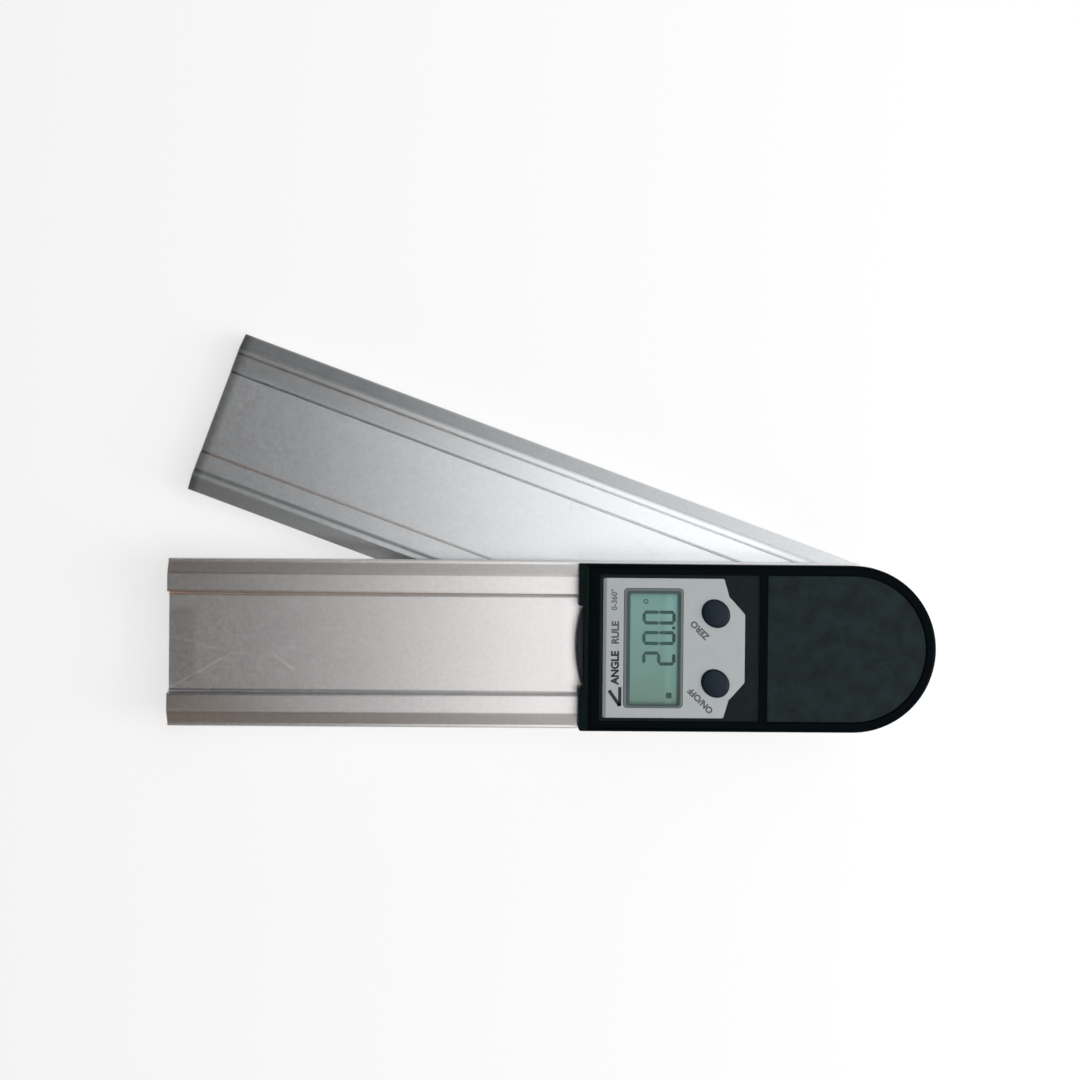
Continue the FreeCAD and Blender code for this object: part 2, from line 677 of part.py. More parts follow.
def face_plate():
    """The silver plate around the display and the buttons, bevelled along its back edge."""
    top = Z_FIELD + PLATE_THICKNESS
    body = prism(plate_outline(), Z_FIELD, top)
    corners = [e for e in upright_edges(body) if abs(e.CenterOfMass.x + PLATE_BACK) < NEAR]
    body = body.makeFillet(POCKET_ROUND - PLATE_GAP, corners)
    cuts = [
        side_prism(
            [
                (-PLATE_BACK, top),
                (-PLATE_BACK, top - PLATE_BEVEL_DROP),
                (-PLATE_BACK + PLATE_BEVEL_WIDTH, top),
            ],
            -PLATE_HALF,
            PLATE_HALF,
        ),
        rounded_block(WINDOW_X, 0, WINDOW_WIDTH + PLATE_GAP, WINDOW_LENGTH + PLATE_GAP, WINDOW_ROUND,
                      Z_FIELD, top),
    ]
    long_half = BUTTON_LONG + 2 * BUTTON_GAP
    short_half = BUTTON_SHORT + 2 * BUTTON_GAP
    for place in BUTTON_PLACES:
        cuts.append(ellipse_post(long_half, short_half, place, Z_FIELD, top))
    return without(body, cuts)


# The window and the display

def window_frame():
    """The grey frame round the window, flush with the plate."""
    top = Z_FIELD + PLATE_THICKNESS
    low = top - FRAME_THICKNESS
    outer = rounded_block(WINDOW_X, 0, WINDOW_WIDTH, WINDOW_LENGTH, WINDOW_ROUND, low, top)
    width = WINDOW_WIDTH - 2 * FRAME_WALL
    length = WINDOW_LENGTH - 2 * FRAME_WALL
    return outer.cut(rounded_block(WINDOW_X, 0, width, length, WINDOW_ROUND / 2, low, top))


def window_lens():
    """The clear window under the frame, on the shell's ledge."""
    top = Z_FIELD + PLATE_THICKNESS - FRAME_THICKNESS
    return rounded_block(WINDOW_X, 0, WINDOW_WIDTH, WINDOW_LENGTH, WINDOW_ROUND, top - LENS_THICKNESS, top)


def lcd_panel():
    """The display's two glass plates, the upper one shorter."""
    plates = []
    for number, length in enumerate((GLASS_LENGTH, GLASS_LENGTH - 2 * GLASS_STEP)):
        low = Z_GLASS + number * GLASS_THICKNESS
        plates.append(block(WINDOW_X - GLASS_WIDTH / 2, WINDOW_X + GLASS_WIDTH / 2, -length / 2, length / 2,
                            low, low + GLASS_THICKNESS))
    return Part.makeCompound(plates)


def zebra_strips():
    """The two rubber contact strips between the display and the board."""
    strips = []
    for side in (-1, 1):
        x = WINDOW_X + side * (GLASS_WIDTH - ZEBRA_WIDTH) / 2
        strips.append(block(x - ZEBRA_WIDTH / 2, x + ZEBRA_WIDTH / 2, -ZEBRA_LENGTH / 2, ZEBRA_LENGTH / 2,
                            Z_BOARD_TOP, Z_GLASS))
    return Part.makeCompound(strips)


def lcd_holder():
    """The plastic frame that keeps the display and its strips in place."""
    width = GLASS_WIDTH / 2 + DISPLAY_PLAY
    length = GLASS_LENGTH / 2 + DISPLAY_PLAY
    outer = block(WINDOW_X - width - HOLDER_WALL, WINDOW_X + width + HOLDER_WALL,
                  -length - HOLDER_WALL, length + HOLDER_WALL, Z_BOARD_TOP, Z_CEILING)
    return outer.cut(block(WINDOW_X - width, WINDOW_X + width, -length, length, Z_BOARD_TOP, Z_CEILING))


# The buttons

def button(place):
    """A domed button: cap, a flange that keeps it in the shell and a stem over its switch."""
    x, y = place
    top = Z_FIELD + PLATE_THICKNESS + BUTTON_PROUD
    flange_top = Z_CEILING - BUTTON_GAP
    flange_low = flange_top - BUTTON_FLANGE_HEIGHT
    stem_low = Z_BOARD_TOP + SWITCH_HEIGHT + PLUNGER_HEIGHT + BUTTON_TRAVEL + AXIAL_PLAY
    cap = ellipse_post(BUTTON_LONG, BUTTON_SHORT, place, flange_top, top)
    cap = cap.common(Part.makeSphere(BUTTON_DOME, vector(x, y, top - BUTTON_DOME)))
    flange = ellipse_post(BUTTON_LONG + BUTTON_FLANGE, BUTTON_SHORT + BUTTON_FLANGE, place,
                          flange_low, flange_top)
    stem = cylinder(BUTTON_STEM_RADIUS, stem_low, flange_low, x, y)
    return joined([cap, flange, stem])


def button_switches():
    """The two small switches on the board, under the buttons."""
    switches = []
    for x, y in BUTTON_PLACES:
        half = SWITCH_SIDE / 2
        base = block(x - half, x + half, y - half, y + half, Z_BOARD_TOP, Z_BOARD_TOP + SWITCH_HEIGHT)
        plunger_low = Z_BOARD_TOP + SWITCH_HEIGHT
        plunger = cylinder(PLUNGER_RADIUS, plunger_low, plunger_low + PLUNGER_HEIGHT, x, y)
        switches.append(joined([base, plunger]))
    return Part.makeCompound(switches)


# The board and what it carries

def main_board():
    """The circuit board, with its holes for the pivot, the posts and its screws."""
    body = lug(INNER_BACK - BOARD_GAP, INNER_HALF - BOARD_GAP, Z_BOARD, Z_BOARD_TOP)
    holes = [cylinder(BOARD_HOLE_RADIUS, Z_BOARD, Z_BOARD_TOP)]
    for x, y in LAND_POSTS + WEB_POSTS:
        holes.append(cylinder(POST_RADIUS + POST_GAP, Z_BOARD, Z_BOARD_TOP, x, y))
    for x, y in BOSSES:
        holes.append(cylinder(SCREW_RADIUS + FIT, Z_BOARD, Z_BOARD_TOP, x, y))
    return without(body, holes)


def board_screws():
    """The screws that hold the board up against the shell's bosses, heads down."""
    screws = []
    for place in BOSSES:
        screws.append(turned_over(screw(place, Z_BOARD, Z_BOARD - BOARD_SCREW_LENGTH), place, Z_BOARD))
    return Part.makeCompound(screws)


def cover_screws():
    """The screws through the shell's posts into the upper arm."""
    return Part.makeCompound([screw(place, seat, base - bite) for place, base, seat, bite in post_seats()])


def controller_chip():
    """The measuring circuit's chip."""
    half = CHIP_SIDE / 2
    return block(-CHIP_PLACE - half, half - CHIP_PLACE, -half, half, Z_BOARD_TOP, Z_BOARD_TOP + CHIP_HEIGHT)


def crystal_can():
    """The clock crystal's can, lying on the board."""
    axis_start = vector(-CRYSTAL_PLACE, -CRYSTAL_LENGTH / 2, Z_BOARD_TOP + CRYSTAL_RADIUS)
    return Part.makeCylinder(CRYSTAL_RADIUS, CRYSTAL_LENGTH, axis_start, vector(0, 1, 0))


# The battery

def battery_bay():
    """The fork on the arm's web that guides the drawer and props the board."""
    frame = block(-INNER_BACK, BAY_END + RUNNER_BAR, -RUNNER_OUTER, RUNNER_OUTER, Z_WEB, Z_BOARD)
    return frame.cut(block(-INNER_BACK, BAY_END, -RUNNER_INNER, RUNNER_INNER, Z_WEB, Z_BOARD))


def drawer_front():
    """The drawer's bowed front, which stands in the shell's recess."""
    apex = -HEAD_BACK - FRONT_PROUD
    arc_middle = vector(apex + FRONT_ARC, 0, 0)
    low = Z_WEB + FRONT_LIFT
    bow = cylinder(FRONT_ARC, low, low + FRONT_HEIGHT, arc_middle.x, 0)
    front = bow.common(block(apex, -TRAY_BACK, -FRONT_HALF, FRONT_HALF, low, low + FRONT_HEIGHT))
    arcs = [e for e in front.Edges if isinstance(e.Curve, Part.Circle)]
    top = [e for e in arcs if e.CenterOfMass.z > low + FRONT_HEIGHT / 2]
    return front.makeFillet(FRONT_ROUND, top)


def battery_drawer():
    """The drawer: bowed front, floor and walls round the cell, open at its tail for the contact."""
    wall_top = Z_TRAY + TRAY_WALL_HEIGHT
    tray = block(-TRAY_BACK, TRAY_END, -TRAY_HALF, TRAY_HALF, Z_TRAY, wall_top)
    cell_space = cylinder(CELL_RADIUS + CELL_GAP, Z_CELL, wall_top, CELL_X, 0)
    tail_start = CELL_X + CELL_RADIUS - TRAY_TAIL
    mouth = block(tail_start, TRAY_END, -TRAY_MOUTH_HALF, TRAY_MOUTH_HALF, Z_CELL, wall_top)
    return joined([without(tray, [cell_space, mouth]), drawer_front()])


def coin_cell():
    """The round cell, plus side down."""
    can_top = Z_CELL + CELL_HEIGHT - CELL_CAP_HEIGHT
    return joined([
        cylinder(CELL_RADIUS, Z_CELL, can_top, CELL_X, 0),
        cylinder(CELL_CAP_RADIUS, can_top, Z_CELL + CELL_HEIGHT, CELL_X, 0),
    ])


def contact_negative():
    """The bent leaf under the board that touches the cell's top."""
    tip_low = Z_CELL + CELL_HEIGHT + LEAF_GAP
    pad_end = CELL_X - LEAF_REACH
    pad_start = pad_end - LEAF_PAD
    leaf = [
        (pad_start, Z_BOARD),
        (pad_start, Z_BOARD - LEAF_THICKNESS),
        (pad_end, Z_BOARD - LEAF_THICKNESS),
        (CELL_X - LEAF_PAD / 2, tip_low),
        (CELL_X + LEAF_PAD / 2, tip_low),
        (CELL_X + LEAF_PAD / 2, tip_low + LEAF_THICKNESS),
        (CELL_X - LEAF_PAD / 2, tip_low + LEAF_THICKNESS),
        (pad_end, Z_BOARD),
    ]
    return side_prism(leaf, -LEAF_WIDTH / 2, LEAF_WIDTH / 2)


def contact_positive():
    """The angled leaf under the board that touches the cell's rim."""
    start = CELL_X + CELL_RADIUS + LEAF_GAP
    leaf = [
        (start, Z_CELL + LEAF_GAP),
        (start + LEAF_THICKNESS, Z_CELL + LEAF_GAP),
        (start + LEAF_THICKNESS, Z_BOARD - LEAF_THICKNESS),
        (start + LEAF_PAD, Z_BOARD - LEAF_THICKNESS),
        (start + LEAF_PAD, Z_BOARD),
        (start, Z_BOARD),
    ]
    return side_prism(leaf, -LEAF_WIDTH / 2, LEAF_WIDTH / 2)


def build():
    """Every node's shape, by name."""
    return {
        "fixed_arm": fixed_arm(),
        "swing_arm": swing_arm(),
        "pivot_shaft": pivot_shaft(),
        "flange_screws": flange_screws(),
        "thrust_washer": with_swing(thrust_washer()),
        "pivot_bush": pivot_bush(),
        "disc_spring": with_swing(disc_spring()),
        "pivot_nut": with_swing(pivot_nut()),
        "rotor_disc": with_swing(rotor_disc()),
        "rotor_screw": with_swing(rotor_screw()),
        "head_shell": head_shell(),
        "hinge_cover": hinge_cover(),
        "face_plate": face_plate(),
        "window_frame": window_frame(),
        "window_lens": window_lens(),
        "lcd_panel": lcd_panel(),
        "lcd_holder": lcd_holder(),
        "zebra_strips": zebra_strips(),
        "zero_button": button(BUTTON_PLACES[0]),
        "power_button": button(BUTTON_PLACES[1]),
        "button_switches": button_switches(),
        "main_board": main_board(),
        "board_screws": board_screws(),
        "cover_screws": cover_screws(),
        "controller_chip": controller_chip(),
        "crystal_can": crystal_can(),
        "battery_bay": battery_bay(),
        "battery_drawer": battery_drawer(),
        "coin_cell": coin_cell(),
        "contact_negative": contact_negative(),
        "contact_positive": contact_positive(),
    }


os.makedirs("parts", exist_ok=True)
for name, shape in build().items():
    shape.exportStep(os.path.join("parts", name + ".step"))
    print(name, len(shape.Solids), round(shape.Volume, 1), shape.isValid())
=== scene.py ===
"""Digital angle rule: two extruded aluminium arms on a pivot, with a measuring head on the upper one."""

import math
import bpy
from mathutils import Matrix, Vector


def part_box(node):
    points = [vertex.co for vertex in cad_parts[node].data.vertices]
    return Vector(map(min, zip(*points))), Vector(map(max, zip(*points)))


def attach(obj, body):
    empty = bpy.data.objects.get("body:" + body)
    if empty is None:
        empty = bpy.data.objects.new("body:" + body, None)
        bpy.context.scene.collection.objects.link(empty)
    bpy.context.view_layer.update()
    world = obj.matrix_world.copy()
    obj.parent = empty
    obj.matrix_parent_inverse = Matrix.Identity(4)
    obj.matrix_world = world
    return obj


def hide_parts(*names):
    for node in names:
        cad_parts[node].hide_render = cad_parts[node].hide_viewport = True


bl_info = {
    "name": "Digital Angle Rule",
    "version": (1, 0, 0),
    "blender": (4, 5, 0),
    "location": "3D View > Sidebar > Angle Rule",
    "description": "Builds a digital angle rule with two aluminium arms around its measured frame",
    "category": "Add Mesh",
}

import bmesh
import bpy
from bpy.props import FloatProperty, FloatVectorProperty, PointerProperty, StringProperty
from mathutils import Matrix, Vector

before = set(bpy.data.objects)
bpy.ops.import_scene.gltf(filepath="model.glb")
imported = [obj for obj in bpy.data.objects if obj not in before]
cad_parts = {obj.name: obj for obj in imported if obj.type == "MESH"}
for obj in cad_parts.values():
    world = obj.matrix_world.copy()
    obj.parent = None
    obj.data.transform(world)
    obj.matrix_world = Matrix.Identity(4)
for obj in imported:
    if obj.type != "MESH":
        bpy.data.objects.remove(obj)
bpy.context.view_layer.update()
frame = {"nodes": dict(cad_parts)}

MM = 0.001
SMOOTH_ANGLE = math.radians(32)
SHARP_ANGLE = math.radians(20)

# Places read from the frame
ARM_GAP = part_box("fixed_arm")[0].z
HEAD_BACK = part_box("head_shell")[0].x
HEAD_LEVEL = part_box("head_shell")[1].z
PLATE_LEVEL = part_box("face_plate")[1].z
GLASS_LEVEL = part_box("lcd_panel")[1].z


def middle_and_size(node):
    """The middle and the size of a node's box."""
    low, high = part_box(node)
    return (low + high) / 2, high - low


# Settings that a user would change

def length(name, description, millimetres):
    return FloatProperty(name=name, description=description, default=millimetres * MM, unit="LENGTH",
                         precision=5)


def angle(name, description, degrees):
    return FloatProperty(name=name, description=description, default=math.radians(degrees), unit="ROTATION")


def colour(name, description, red, green, blue):
    return FloatVectorProperty(name=name, description=description, default=(red, green, blue, 1.0), size=4,
                               min=0.0, max=1.0, subtype="COLOR")


def number(name, description, value):
    return FloatProperty(name=name, description=description, default=value)


def words(name, description, value):
    return StringProperty(name=name, description=description, default=value)


class ArmSizes(bpy.types.PropertyGroup):
    """The extrusion that both arms are cut from."""
    width: length("Width", "Across an arm", 50.8)
    reach: length("Reach", "From the pivot axis to an arm's free end", 205.2)
    thickness: length("Thickness", "From the inner to the outer side", 8.0)
    opening: angle("Opening", "Angle between the arms at rest", 20.0)
    edge_ledge: length("Edge ledge", "Flat ledge outside the bevel", 1.1)
    bevel_width: length("Bevel width", "Across the outer bevel", 3.5)
    bevel_drop: length("Bevel drop", "Height of the outer bevel", 1.7)
    bevel_blend: length("Bevel blend", "Radius between the bevel and the land", 4.0)
    land_width: length("Land width", "Across the flat land beside the web", 5.4)
    web_depth: length("Web depth", "From the land down to the web", 3.0)
    step_lean: length("Step lean", "Draft of the step between land and web", 0.5)
    web_blend: length("Web blend", "Radius at the foot of that step", 1.2)
    inner_bevel_width: length("Inner bevel width", "Across the inner bevel", 4.4)
    inner_bevel_drop: length("Inner bevel drop", "Height of the inner bevel", 1.6)
    groove_inset: length("Groove inset", "From the long edge to the inner groove", 6.4)
    groove_width: length("Groove width", "Across the inner groove", 0.7)
    groove_depth: length("Groove depth", "Depth of the inner groove", 0.4)
    line_inset: length("Line inset", "From the long edge to the inner line", 12.4)
    line_width: length("Line width", "Across the inner line", 0.8)
    line_depth: length("Line depth", "Depth of the inner line", 0.65)
    inner_recess: length("Inner recess", "Depth of the inner field between the lines", 0.3)
    corner: length("Corner", "Radius of the extrusion's outer corners", 0.14)
    ledge_round: length("Ledge round", "Radius of the ledge's outer edge", 0.6)
    end_chamfer: length("End chamfer", "Broken edge at the sawn end", 0.25)


class HeadSizes(bpy.types.PropertyGroup):
    """Edges and small forms of the head's outer pieces."""
    cover_edge: length("Cover edge", "Rounding round the hinge cover", 0.35)
    plate_edge: length("Plate edge", "Rounding round the face plate", 0.09)
    plate_bevel_width: length("Plate bevel width", "Across the bevel along the plate's back", 1.0)
    plate_bevel_drop: length("Plate bevel drop", "Height of that bevel", 0.4)
    frame_wall: length("Frame wall", "Width of the window's frame", 1.6)
    frame_foot: length("Frame foot", "Width of the frame's narrow lower side", 0.9)
    window_shift: length("Window shift", "How far the opening sits off the frame's middle", 0.35)
    frame_edge: length("Frame edge", "Rounding of the window's frame", 0.16)
    gasket: length("Gasket", "Width of the dark band inside the window's frame", 0.8)
    broken_edge: length("Broken edge", "Rounding of the shell's and the drawer's sharp edges", 0.12)
    button_long: length("Button length", "Half the oval button's length", 4.3)
    button_short: length("Button width", "Half the oval button's width", 3.75)
    button_edge: length("Button edge", "Rounding of a button's rim", 0.75)
    button_turn: angle("Button turn", "How far the ovals are turned", -45.0)
    print_height: length("Print height", "Thickness of printed marks", 0.015)
    label_size: length("Label size", "Type size beside the buttons", 2.6)
    strip_size: length("Strip size", "Type size on the plate's strip", 3.1)
    zero_label: words("Upper label", "Word beside the upper button", "ZERO")
    power_label: words("Lower label", "Word beside the lower button", "ON/OFF")
    strip_name: words("Strip, name", "Dark words on the strip", "ANGLE")
    strip_kind: words("Strip, kind", "Grey words on the strip", "RULE")
    strip_range: words("Strip, range", "Measuring range on the strip", "0-360°")


class DisplaySizes(bpy.types.PropertyGroup):
    """The reading and its seven-bar digits."""
    reading: words("Reading", "Digits shown, with one decimal point", "20.0")
    digit_height: length("Digit height", "Height of a digit", 9.9)
    digit_width: length("Digit width", "Width of a digit", 4.2)
    digit_pitch: length("Digit pitch", "From one digit to the next", 6.1)
    bar_width: length("Bar width", "Width of a bar", 1.0)
    bar_gap: length("Bar gap", "Gap between neighbouring bars", 0.12)
    bar_height: length("Bar height", "Thickness of the bars on the glass", 0.03)
    first_digit: length("First digit", "Middle of the first digit across the head", -3.25)
    base_line: length("Base line", "Feet of the digits along the head", -52.9)


class Finishes(bpy.types.PropertyGroup):
    """Colours of the outer pieces."""
    upper_arm: colour("Upper arm", "Satin anodised aluminium", 0.80, 0.79, 0.785)
    lower_arm: colour("Lower arm", "Satin anodised aluminium", 0.765, 0.79, 0.81)
    shell: colour("Shell", "Gloss black plastic", 0.0006, 0.0024, 0.0038)
    field: colour("Display field", "Matt floor of the pocket round the face plate", 0.0060, 0.0130, 0.0130)
    cover: colour("Hinge cover", "Matt dark plastic over the pivot", 0.0080, 0.0170, 0.0190)
    drawer: colour("Battery drawer", "Satin dark plastic", 0.026, 0.033, 0.039)
    plate: colour("Face plate", "Silver plate round the display", 0.42, 0.45, 0.455)
    frame: colour("Window frame", "Grey frame round the window", 0.125, 0.155, 0.160)
    gasket: colour("Gasket", "Dark band inside the window's frame", 0.068, 0.100, 0.103)
    display: colour("Display", "Green-grey reflecting glass", 0.195, 0.410, 0.390)
    # The lower part's colour is painted shade, for the glass further from the light
    display_low: colour("Display, lower part", "The glass further from the light", 0.155, 0.295, 0.235)
    bars: colour("Bars", "Dark bars of the digits", 0.010, 0.070, 0.078)
    button: colour("Buttons", "Satin black rubber", 0.006, 0.014, 0.024)
    grey_ink: colour("Grey print", "Grey print on the plate", 0.10, 0.105, 0.11)
    dark_ink: colour("Dark print", "Dark print on the plate", 0.03, 0.032, 0.035)


class StudioSettings(bpy.types.PropertyGroup):
    """Floor, lamps and camera."""
    floor_size: length("Floor size", "Side of the floor", 6000.0)
    floor_colour: colour("Floor", "Pale floor", 0.46, 0.46, 0.46)
    walls: colour("Walls", "Light from the studio's pale walls", 1.0, 1.0, 1.0)
    ceiling: colour("Ceiling", "Light from the studio's dim ceiling", 0.055, 0.050, 0.047)
    overhead: number("Overhead lamp", "Radiance of the large soft lamp overhead", 1.48)
    rear: number("Rear lamp", "Radiance of the lamp behind the overhead lamp", 0.80)
    front: number("Front lamp", "Radiance of the lamp in front of the overhead lamp", 0.62)
    side: number("Side lamp", "Radiance of the smaller soft lamp on the right", 4.5)
    fill: number("Fill lamp", "Radiance of the dim lamp in front on the left", 0.26)
    lens: number("Lens", "Focal length in millimetres", 46.667)


SETTINGS = {
    "angle_rule_arms": ArmSizes,
    "angle_rule_head": HeadSizes,
    "angle_rule_display": DisplaySizes,
    "angle_rule_finishes": Finishes,
    "angle_rule_studio": StudioSettings,
}


def arms():
    return bpy.context.scene.angle_rule_arms


def head():
    return bpy.context.scene.angle_rule_head


def display():
    return bpy.context.scene.angle_rule_display


def finishes():
    return bpy.context.scene.angle_rule_finishes


def studio():
    return bpy.context.scene.angle_rule_studio


# Node trees

FLOAT = "NodeSocketFloat"
COLOUR = "NodeSocketColor"
VECTOR = "NodeSocketVector"
GEOMETRY = "NodeSocketGeometry"
MATERIAL = "NodeSocketMaterial"


def wire(tree, kind, inputs=None, **settings):
    """A node with its settings, and its inputs set to values or linked to sockets."""
    node = tree.nodes.new(kind)
    for key, value in settings.items():
        setattr(node, key, value)
    for key, value in (inputs or {}).items():
        socket = node.inputs[key]
        if isinstance(value, bpy.types.NodeSocket):
            tree.links.new(value, socket)
        else:
            socket.default_value = value
    return node


def maths(tree, operation, *values):
    """The output of one math node."""
    return wire(tree, "ShaderNodeMath", dict(enumerate(values)), operation=operation).outputs[0]


def weighted(tree, total, *pairs):
    """A value plus others, each times its weight."""
    for value, weight in pairs:
        total = maths(tree, "MULTIPLY_ADD", value, weight, total)
    return total


def ranged(tree, value, start, end, low=0.0, high=1.0, **settings):
    """A value's way from start to end, as a clamped number from low to high."""
    inputs = {"Value": value, "From Min": start, "From Max": end, "To Min": low, "To Max": high}
    return wire(tree, "ShaderNodeMapRange", inputs, **settings).outputs[0]


def blended(tree, share, first, second, **settings):
    """Two colours mixed by a share."""
    return wire(tree, "ShaderNodeMix", {"Factor": share, "A": first, "B": second}, data_type="RGBA",
                **settings).outputs["Result"]


def stretched(tree, vector, factors):
    """A vector with each of its parts times a factor."""
    return wire(tree, "ShaderNodeVectorMath", {0: vector, 1: factors}, operation="MULTIPLY").outputs[0]


def parts_of(tree, vector):
    """The X, Y and Z of a vector."""
    return wire(tree, "ShaderNodeSeparateXYZ", {0: vector}).outputs


def object_place(tree):
    """A surface point's place in its own object."""
    return tree.nodes.new("ShaderNodeTexCoord").outputs["Object"]


def turned_place(tree, turn):
    """The same place, turned about Z."""
    return wire(tree, "ShaderNodeVectorRotate", {"Vector": object_place(tree), "Angle": turn},
                rotation_type="Z_AXIS").outputs[0]


def noise(tree, vector, size, detail=2.0, roughness=0.5):
    """Noise whose features are about one size across, centred on zero."""
    scale = maths(tree, "DIVIDE", 1.0, size)
    node = wire(tree, "ShaderNodeTexNoise", {"Vector": vector, "Scale": scale, "Detail": detail,
                                             "Roughness": roughness})
    return maths(tree, "SUBTRACT", node.outputs["Fac"], 0.5)


def tinted(tree, base, amount):
    """A colour made lighter or darker by an amount that varies round zero."""
    factor = maths(tree, "ADD", 1.0, amount)
    return wire(tree, "ShaderNodeVectorMath", {0: base, "Scale": factor}, operation="SCALE").outputs[0]


def within(tree, value, half, soft):
    """1 where a value's size is below a half width, falling to 0 over a soft edge."""
    half_soft = maths(tree, "MULTIPLY", soft, 0.5)
    return ranged(tree, maths(tree, "ABSOLUTE", value), maths(tree, "SUBTRACT", half, half_soft),
                  maths(tree, "ADD", half, half_soft), 1.0, 0.0, interpolation_type="SMOOTHSTEP")


def open_tree(name, inputs, outputs, kind="ShaderNodeTree"):
    """A new node group: its tree, what it is given by name, and its output node. Each input is named with its
    type, or with the number or colour that it starts from."""
    tree = bpy.data.node_groups.new(name, kind)
    for socket_name, start in inputs.items():
        if isinstance(start, str):
            tree.interface.new_socket(name=socket_name, in_out="INPUT", socket_type=start)
        else:
            kind_of_start = FLOAT if isinstance(start, float) else COLOUR
            socket = tree.interface.new_socket(name=socket_name, in_out="INPUT", socket_type=kind_of_start)
            socket.default_value = start
    for socket_name, socket_type in outputs.items():
        tree.interface.new_socket(name=socket_name, in_out="OUTPUT", socket_type=socket_type)
    return tree, tree.nodes.new("NodeGroupInput").outputs, tree.nodes.new("NodeGroupOutput")


def put_out(tree, out, values):
    """Links values to a group's named outputs."""
    for name, value in values.items():
        tree.links.new(value, out.inputs[name])


GRAIN_OUTPUTS = {"Colour": COLOUR, "Roughness": FLOAT, "Height": FLOAT}


def satin_metal_group():
    """Grain, drawn lines and patches of a satin metal, with the lines along the piece's own direction."""
    tree, given, out = open_tree("satin_metal_grain", {
        "Colour": (0.8, 0.8, 0.8, 1.0),
        "Turn": 0.0,
        "Grain Size": 0.0004,
        "Grain": 0.1,
        "Lines": 0.1,
        "Patches": 0.05,
        "Roughness": 0.3,
    }, GRAIN_OUTPUTS)
    line_stretch = (0.012, 1.0, 1.0)
    line_size = 0.45 * MM
    patch_size = 22.0 * MM
    turned = turned_place(tree, given["Turn"])
    grain = noise(tree, object_place(tree), given["Grain Size"], 3.0, 0.6)
    lines = noise(tree, stretched(tree, turned, line_stretch), line_size, 3.0, 0.65)
    patches = noise(tree, turned, patch_size, 3.0, 0.55)
    height = weighted(tree, maths(tree, "MULTIPLY", grain, given["Grain"]), (lines, given["Lines"]))
    shade = weighted(tree, height, (patches, given["Patches"]))
    rough = weighted(tree, given["Roughness"], (lines, maths(tree, "MULTIPLY", given["Lines"], 0.6)),
                     (grain, maths(tree, "MULTIPLY", given["Grain"], 0.5)))
    put_out(tree, out, {"Colour": tinted(tree, given["Colour"], shade), "Roughness": rough, "Height": height})
    return tree


def moulded_group():
    """The fine spark-eroded grain and cloudy tone of moulded plastic."""
    tree, given, out = open_tree("moulded_grain", {
        "Colour": (0.02, 0.02, 0.02, 1.0),
        "Grain Size": 0.0003,
        "Grain": 0.2,
        "Cloud Size": 0.006,
        "Clouds": 0.1,
        "Roughness": 0.4,
    }, GRAIN_OUTPUTS)
    place = object_place(tree)
    grain = noise(tree, place, given["Grain Size"], 2.0, 0.5)
    clouds = noise(tree, place, given["Cloud Size"], 4.0, 0.6)
    height = maths(tree, "MULTIPLY", grain, given["Grain"])
    shade = weighted(tree, height, (clouds, given["Clouds"]))
    rough = weighted(tree, given["Roughness"], (clouds, maths(tree, "MULTIPLY", given["Clouds"], 0.08)),
                     (grain, maths(tree, "MULTIPLY", given["Grain"], 0.2)))
    put_out(tree, out, {"Colour": tinted(tree, given["Colour"], shade), "Roughness": rough, "Height": height})
    return tree


def marks_group():
    """A mask of fine handling scratches, broken up so that they don't cover the piece evenly."""
    tree, given, out = open_tree("handling_marks", {
        "Spacing": 0.02,
        "Width": 0.004,
        "Amount": 0.5,
    }, {"Mask": FLOAT})
    scratch_stretch = (0.25, 1.0, 1.0)
    bare_below = 0.04
    place = object_place(tree)
    cells = wire(tree, "ShaderNodeTexVoronoi", {
        "Vector": stretched(tree, place, scratch_stretch),
        "Scale": maths(tree, "DIVIDE", 1.0, given["Spacing"]),
    }, feature="DISTANCE_TO_EDGE").outputs["Distance"]
    line = maths(tree, "LESS_THAN", cells, given["Width"])
    broken = maths(tree, "GREATER_THAN", noise(tree, place, given["Spacing"]), bare_below)
    mask = maths(tree, "MULTIPLY", maths(tree, "MULTIPLY", line, broken), given["Amount"])
    put_out(tree, out, {"Mask": mask})
    return tree


